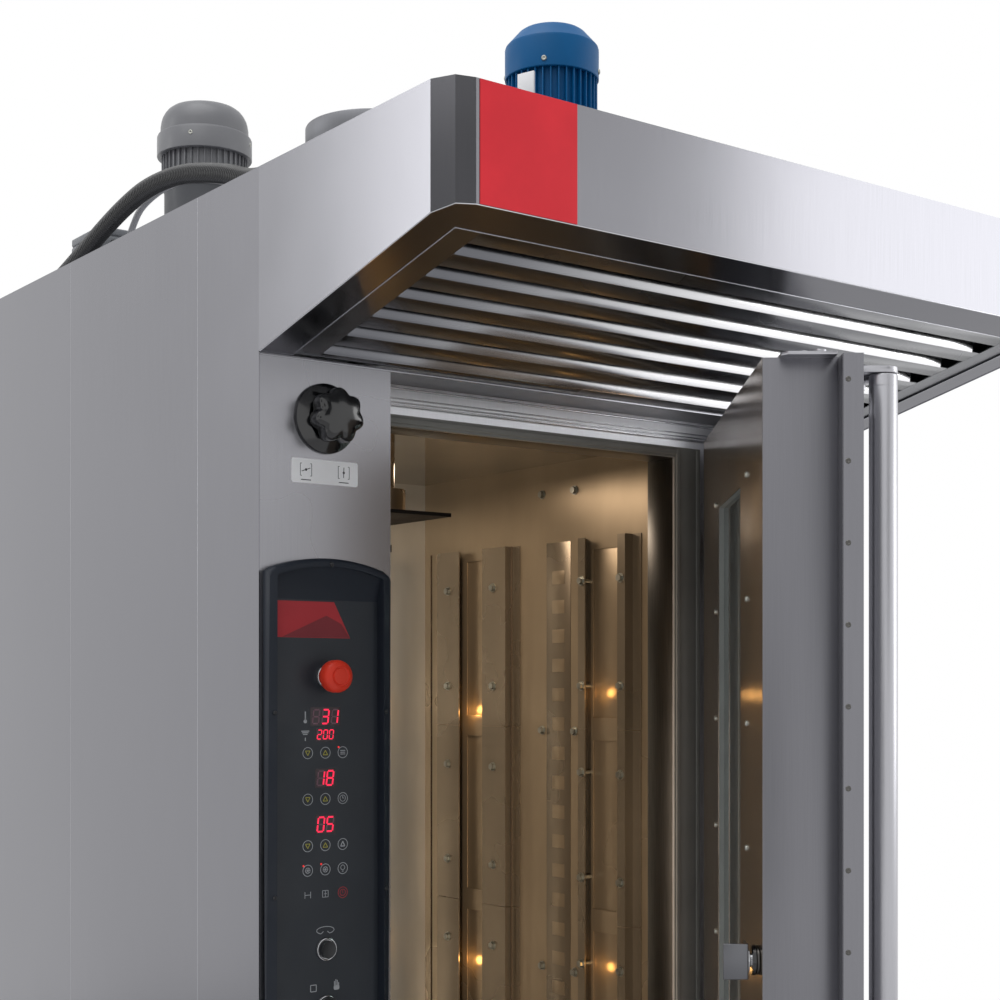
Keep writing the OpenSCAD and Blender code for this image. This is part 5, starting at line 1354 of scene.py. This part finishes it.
def control_surround():
    """Arched surround of grained plastic: rounded rim, deep recess, hollow at the top."""
    x0, x1, low, shoulder, crown = -534, -359.5, 1012, 1716, 1732
    deep, rim_w = 18, 10.5
    mid = (x0 + x1) / 2

    def arch(left, right, bottom, side, top, corner):
        """The outline of a panel with an arched top and round corners."""
        points = [(left + corner, bottom), (right - corner, bottom), (right, bottom + corner)]
        half = (right - left) / 2
        rise = top - side
        radius = (half * half + rise * rise) / (2 * rise)
        for k in range(21):
            t = 1 - 2 * k / 20
            px = mid + t * (half - 1.2)
            points.append((px, top - radius + math.sqrt(radius ** 2 - (px - mid) ** 2)
                           - (2.4 if abs(t) == 1 else 0)))
        points.append((left, bottom + corner))
        return points

    outer = arch(x0, x1, low, shoulder, crown, 3)
    rim = plate("control_surround", outer, FRONT_Y - deep, deep, hole=rim_w)
    pick(rim, "EDGE", lambda c, d: c.y < FRONT_Y - deep + 0.5 and (
        c.x < x0 + 3 or c.x > x1 - 3 or c.z < low + 3
        or c.z > shoulder - 4 + (crown - shoulder) * (1 - ((c.x - mid) / (mid - x0)) ** 2)))
    bpy.ops.mesh.bevel(offset=0.007, segments=5, profile=0.5, affect="EDGES")
    leave()
    softened(rim, 1.6, 2, 50)
    finished(rim, "oven", FINISH["fascia_abs"], "fascia_plastic", "control_fascia")

    half = (x1 - x0) / 2 - rim_w - 0.5
    top = []
    for k in range(17):
        px = mid - half + 2 * half * k / 16
        top.append((px, shoulder - rim_w + 0.7
                    + 16 * math.sqrt(1 - ((px - mid) / (half + 45)) ** 2)))
    foot, hollow_deep = 1681, 12.6
    rows = []
    for k in range(7):
        share = k / 6
        depth = PANEL_Y - 0.4 - hollow_deep * share ** 1.8
        rows.append([(px, depth, foot + (pz - foot) * share) for px, pz in top])
    hollow = chain("surround_hollow", rows[0], False)
    bpy.ops.object.mode_set(mode="EDIT")
    bpy.ops.mesh.select_all(action="SELECT")
    leave()
    for after in rows[1:]:
        bpy.ops.object.mode_set(mode="EDIT")
        bpy.ops.mesh.extrude_region_move(TRANSFORM_OT_translate={"value": (0, 0, 0)})
        shape = bmesh.from_edit_mesh(hollow.data)
        chosen = sorted((v for v in shape.verts if v.select), key=lambda v: v.co.x)
        for vertex, place in zip(chosen, after):
            vertex.co = metres(place)
        bmesh.update_edit_mesh(hollow.data)
        leave()
    outward(hollow)
    modified(hollow, "SOLIDIFY", thickness=0.0012, offset=1)
    take(hollow)
    bpy.ops.object.shade_smooth_by_angle(angle=math.radians(40))
    finished(hollow, "oven", FINISH["fascia_abs"], "fascia_plastic")

    heads = [screw_head("surround_screws", 3.2, (mid, FRONT_Y - deep + 0.2, crown - 8), "Y")]
    for sx in (x0 + 8, x1 - 8):
        for sz in (1543, 1321, 1050):
            heads.append(screw_head("head", 2.6, (sx, FRONT_Y - deep + 0.2, sz), "Y"))
    finished(joined("surround_screws", heads), "oven", FINISH["nylon"], "fascia_plastic")


SEGMENTS = {
    "top": ((0, 1), (1, 1)), "middle": ((0, 0.5), (1, 0.5)), "bottom": ((0, 0), (1, 0)),
    "upper_left": ((0, 0.5), (0, 1)), "lower_left": ((0, 0), (0, 0.5)),
    "upper_right": ((1, 0.5), (1, 1)), "lower_right": ((1, 0), (1, 0.5)),
}
DIGIT = {
    "0": ("top", "bottom", "upper_left", "lower_left", "upper_right", "lower_right"),
    "1": ("upper_right", "lower_right"),
    "2": ("top", "upper_right", "middle", "lower_left", "bottom"),
    "3": ("top", "upper_right", "middle", "lower_right", "bottom"),
    "5": ("top", "upper_left", "middle", "lower_right", "bottom"),
    "8": tuple(SEGMENTS),
    " ": (),
}


def readout(name, text, x, low, high, pitch):
    """A window with slanted seven-segment digits, lit or dark."""
    height = high - low
    wide = height * 0.5
    window = plate(name + "_window", rounded(x - pitch * len(text) / 2 - 1.5,
                                             x + pitch * len(text) / 2 + 1.5,
                                             low - 3, high + 3, 1), PANEL_Y - 0.2, 0.25)
    finished(window, "oven", FINISH["display"], "panel_film")
    lit, dark = [], []
    for k, figure in enumerate(text):
        left = x - pitch * len(text) / 2 + pitch * (k + 0.5) - wide / 2
        for part, ((ax, az), (bx, bz)) in SEGMENTS.items():
            gap = 0.09
            a = [left + ax * wide, low + az * height]
            b = [left + bx * wide, low + bz * height]
            if az == bz:
                a[0] += gap * wide
                b[0] -= gap * wide
            else:
                a[1] += gap * wide
                b[1] -= gap * wide
            for p in (a, b):
                p[0] += (p[1] - low - height / 2) * 0.12
            bar = stroke("bar", a, b, height * 0.11, PANEL_Y - 0.2, 0.15)
            (lit if part in DIGIT[figure] else dark).append(bar)
    if lit:
        finished(joined(name + "_lit", lit), "oven", FINISH["segment_on"], "panel_film")
    if dark:
        finished(joined(name + "_dark", dark), "oven", FINISH["segment_off"], "panel_film")


def arrow_mark(x, z, up):
    """A key's triangle in outline."""
    s = 1 if up else -1
    a, b, c = (x - 3.2, z - 2.6 * s), (x + 3.2, z - 2.6 * s), (x, z + 3.0 * s)
    return [stroke("mark", p, q, 0.9) for p, q in ((a, b), (b, c), (c, a))]


def key_film():
    """Patches, displays, key rings, marks and signal lamps on the key film."""
    x = CONTROL_X
    left, right = x - 25, x + 25
    heat_row, time_row, steam_row, lamp_row, mode_row = 1493, 1436, 1379, 1349, 1319
    patch = plate("film_patch", [(-521, 1679), (-434.7, 1679), (-411.4, 1634.5), (-521, 1634.5)],
                  PANEL_Y - 0.25, 0.27)
    finished(patch, "oven", FINISH["red_ink"], "panel_film")
    facet = plate("film_patch_facet", [(-445.7, 1662), (-424, 1652), (-412.2, 1635),
                                       (-508, 1635)], PANEL_Y - 0.36, 0.14)
    finished(facet, "oven", FINISH["dark_red_ink"], "panel_film")
    readout("heat_readout", " 31", x, 1529, 1546, 13.3)
    readout("target_readout", "200", x, 1510, 1521, 8.4)
    readout("minutes_readout", "18", x, 1453, 1470.5, 13)
    readout("steam_readout", "05", x, 1396, 1413.5, 13)

    rings, white, yellow, red, leds = [], [], [], [], []
    for z in (heat_row, time_row, steam_row, lamp_row):
        rings += [ring_mark("key_rings", at, z, 7.2, 0.7) for at in (left, x, right)]
    for z in (heat_row, time_row, steam_row):
        yellow += arrow_mark(left, z, False) + arrow_mark(x, z, True)
    # right-hand keys: heat waves, clock, steam peak; then two fans and a lamp
    for dz in (-2.2, 0, 2.2):
        white.append(stroke("mark", (x + 21.5, heat_row + dz), (x + 28.5, heat_row + dz), 0.9))
    rings.append(ring_mark("mark", right, time_row, 4.2, 0.6))
    white.append(stroke("mark", (right, time_row), (right, time_row + 3), 0.7))
    white.append(stroke("mark", (right, time_row), (right + 2, time_row), 0.7))
    white.append(stroke("mark", (right - 3, steam_row - 2.5), (right, steam_row + 3.5), 1.2))
    white.append(stroke("mark", (right, steam_row + 3.5), (right + 3, steam_row - 2.5), 1.2))
    white.append(stroke("mark", (right - 3, steam_row - 2.5), (right + 3, steam_row - 2.5), 1.2))
    for dx in (-25, 0):
        rings.append(ring_mark("mark", x + dx, lamp_row, 3.6, 0.6))
        for a in (0, 60, 120):
            c, s = 2.8 * math.cos(math.radians(a)), 2.8 * math.sin(math.radians(a))
            white.append(stroke("mark", (x + dx - c, lamp_row - s), (x + dx + c, lamp_row + s), 0.6))
    rings.append(ring_mark("mark", right, lamp_row + 1, 3.2, 0.6))
    white.append(stroke("mark", (right - 1, lamp_row - 3.6), (right + 1, lamp_row - 3.6), 1.0))
    # lower row: door mark, rack mark, and the red power ring
    for dx in (-29, -21):
        white.append(stroke("mark", (x + dx, mode_row - 4), (x + dx, mode_row + 4), 0.7))
    white.append(stroke("mark", (x - 29, mode_row), (x - 21, mode_row), 0.7))
    for a, b in (((-4, -4), (4, -4)), ((4, -4), (4, 4)), ((4, 4), (-4, 4)), ((-4, 4), (-4, -4)),
                 ((-2, 0), (2, 0)), ((0, -4), (0, 4))):
        white.append(stroke("mark", (x + a[0], mode_row + a[1]), (x + b[0], mode_row + b[1]), 0.7))
    red.append(ring_mark("power_mark", right, mode_row, 7, 0.7))
    red.append(ring_mark("mark", right, mode_row, 4.2, 0.7))
    red.append(stroke("mark", (right, mode_row - 1), (right, mode_row + 2.6), 0.7))
    # thermometer and vent marks beside the upper displays
    white.append(stroke("mark", (x - 28.5, 1533), (x - 28.5, 1544), 1.4))
    white.append(turned("mark", [(0, 0), (2.4, 0), (2.4, 0.15), (0, 0.15)],
                        (x - 28.5, PANEL_Y, 1532), "Y", 16))
    for k, wide in enumerate((5.5, 4.4, 3)):
        white.append(stroke("mark", (x - 28.5 - wide, 1520 - 2 * k),
                            (x - 28.5 + wide, 1520 - 2 * k), 1.1))
    white.append(stroke("mark", (x - 28.5, 1508), (x - 28.5, 1512), 1.2))
    # turning arrow over the push button, made of short strokes
    turning = [(x + 12.5 * math.cos(math.radians(a)), BUTTON_Z + 23 + 4.6 * math.sin(math.radians(a)))
               for a in range(-60, 241, 20)]
    white += [stroke("mark", p, q, 0.8) for p, q in zip(turning, turning[1:])]
    white.append(stroke("mark", turning[0], (turning[0][0] - 3.4, turning[0][1] + 2.6), 0.8))
    white.append(stroke("mark", turning[-1], (turning[-1][0] + 3.4, turning[-1][1] + 2.6), 0.8))
    # square and hand over the selector
    for a, b in (((-21, 20), (-13, 20)), ((-13, 20), (-13, 28)), ((-13, 28), (-21, 28)),
                 ((-21, 28), (-21, 20))):
        white.append(stroke("mark", (x + a[0], SELECTOR_Z + a[1]), (x + b[0], SELECTOR_Z + b[1]), 1))
    for dx, tall in ((13, 30), (15, 32), (17, 31), (19, 28)):
        white.append(stroke("mark", (x + dx, SELECTOR_Z + 24), (x + dx, SELECTOR_Z + tall), 1.1))
    white.append(plate("mark", rounded(x + 12, x + 20, SELECTOR_Z + 19, SELECTOR_Z + 25, 2, 3),
                       PANEL_Y - 0.15, 0.17))
    for dx, z in ((-31, 1355), (-6, 1356), (19, 1499.5)):
        leds.append(turned("key_leds", [(0, 0), (1.3, 0), (1.1, 0.5), (0, 0.7)],
                           (x + dx, PANEL_Y, z), "Y", 12))
    finished(joined("key_rings", rings), "oven", FINISH["white_ink"], "panel_film")
    finished(joined("key_marks", white), "oven", FINISH["white_ink"], "panel_film")
    finished(joined("key_arrows", yellow), "oven", FINISH["yellow_ink"], "panel_film")
    finished(joined("power_mark", red), "oven", FINISH["red_ink"], "panel_film")
    finished(joined("key_leds", leds), "oven", FINISH["led"], "panel_film")


def switches():
    """Collars, mushroom stop, push button and selector on the key film."""
    x = CONTROL_X
    collars = []
    for z, proud in ((ESTOP_Z, 6), (BUTTON_Z, 5), (SELECTOR_Z, 5)):
        collars.append(turned("switch_rings", [
            (11.2, -3), (14.5, -3), (14.5, proud - 1.6), (13.9, proud - 0.4), (13.2, proud),
            (12.4, proud - 0.3), (11.9, proud - 1.2), (11.2, proud - 1.2), (11.2, -3)],
            (x, PANEL_Y, z), "Y", 48))
    finished(joined("switch_rings", collars), "oven", FINISH["turned"], "polished_steel",
             "switch_collars")

    mushroom = turned("stop_mushroom", [
        (0, -19), (11, -19), (11, 14), (16.5, 15.8), (19.4, 18), (20, 21), (20, 29), (19.2, 32.5),
        (16.8, 35.6), (12.6, 37.4), (12, 36.4), (10.4, 36.2), (9.6, 37.6), (5, 38), (0, 38)],
        (x, PANEL_Y, ESTOP_Z), "Y", 56, 45)
    finished(mushroom, "emergency_stop", FINISH["stop_red"], "stop_red", "estop_button")
    tooth = block("stop_skirt", (11.2, -1.2, 12.4), (12.8, 1.2, 14.8), 0.3)
    skirt = row(tooth, [turn(a, "Z") for a in range(20, 360, 20)])
    skirt.data.transform(Matrix.Rotation(math.radians(90), 4, "X"))
    skirt.data.transform(shift(x, PANEL_Y, ESTOP_Z))
    finished(skirt, "emergency_stop", FINISH["nylon"], "black_gloss")

    button = turned("start_button", [
        (0, -22), (11, -22), (11, 8), (10.4, 9), (9.4, 8.6), (0, 8.2)],
        (x, PANEL_Y, BUTTON_Z), "Y", 40)
    finished(button, "start_button", FINISH["nylon"], "black_gloss", "push_button")

    core = turned("selector_switch", [
        (0, -26), (11, -26), (11, 5.3), (13.3, 5.3), (13.3, 8.6), (12.6, 9.6), (0, 10)],
        (x, PANEL_Y, SELECTOR_Z), "Y", 40)
    bar = block("selector_bar", (x - 3.6, PANEL_Y - 20.5, SELECTOR_Z - 10.5),
                (x + 3.6, PANEL_Y - 8, SELECTOR_Z + 10.5), 1.6, 3)
    whole = joined("selector_switch", [core, bar])
    finished(whole, "selector", FINISH["nylon"], "black_gloss", "selector_knob")
    line = block("selector_line", (x - 0.9, PANEL_Y - 20.9, SELECTOR_Z + 2),
                 (x + 0.9, PANEL_Y - 20.3, SELECTOR_Z + 9.5), 0.2)
    finished(line, "selector", FINISH["white_ink"], "black_gloss")


# ---------------------------------------------------------------- build


dress_nodes()
ease_edges()
place_camera()
build_studio()
blue_motor()
grey_motor()
gear_unit()
flue()
ribbed_conduit()
light_cable()
junction_case()
grease_baffle()
hood_hems()
panel_seams()
door_frame()
frame_seal()
chamber_trim()
door_edge()
edge_screws()
catch_plate()
inner_screws()
pull_handle()
handle_carriers()
latch()
star_knob()
damper_label()
control_surround()
key_film()
switches()

scene = bpy.context.scene
scene.view_settings.view_transform = "Standard"
deselect()
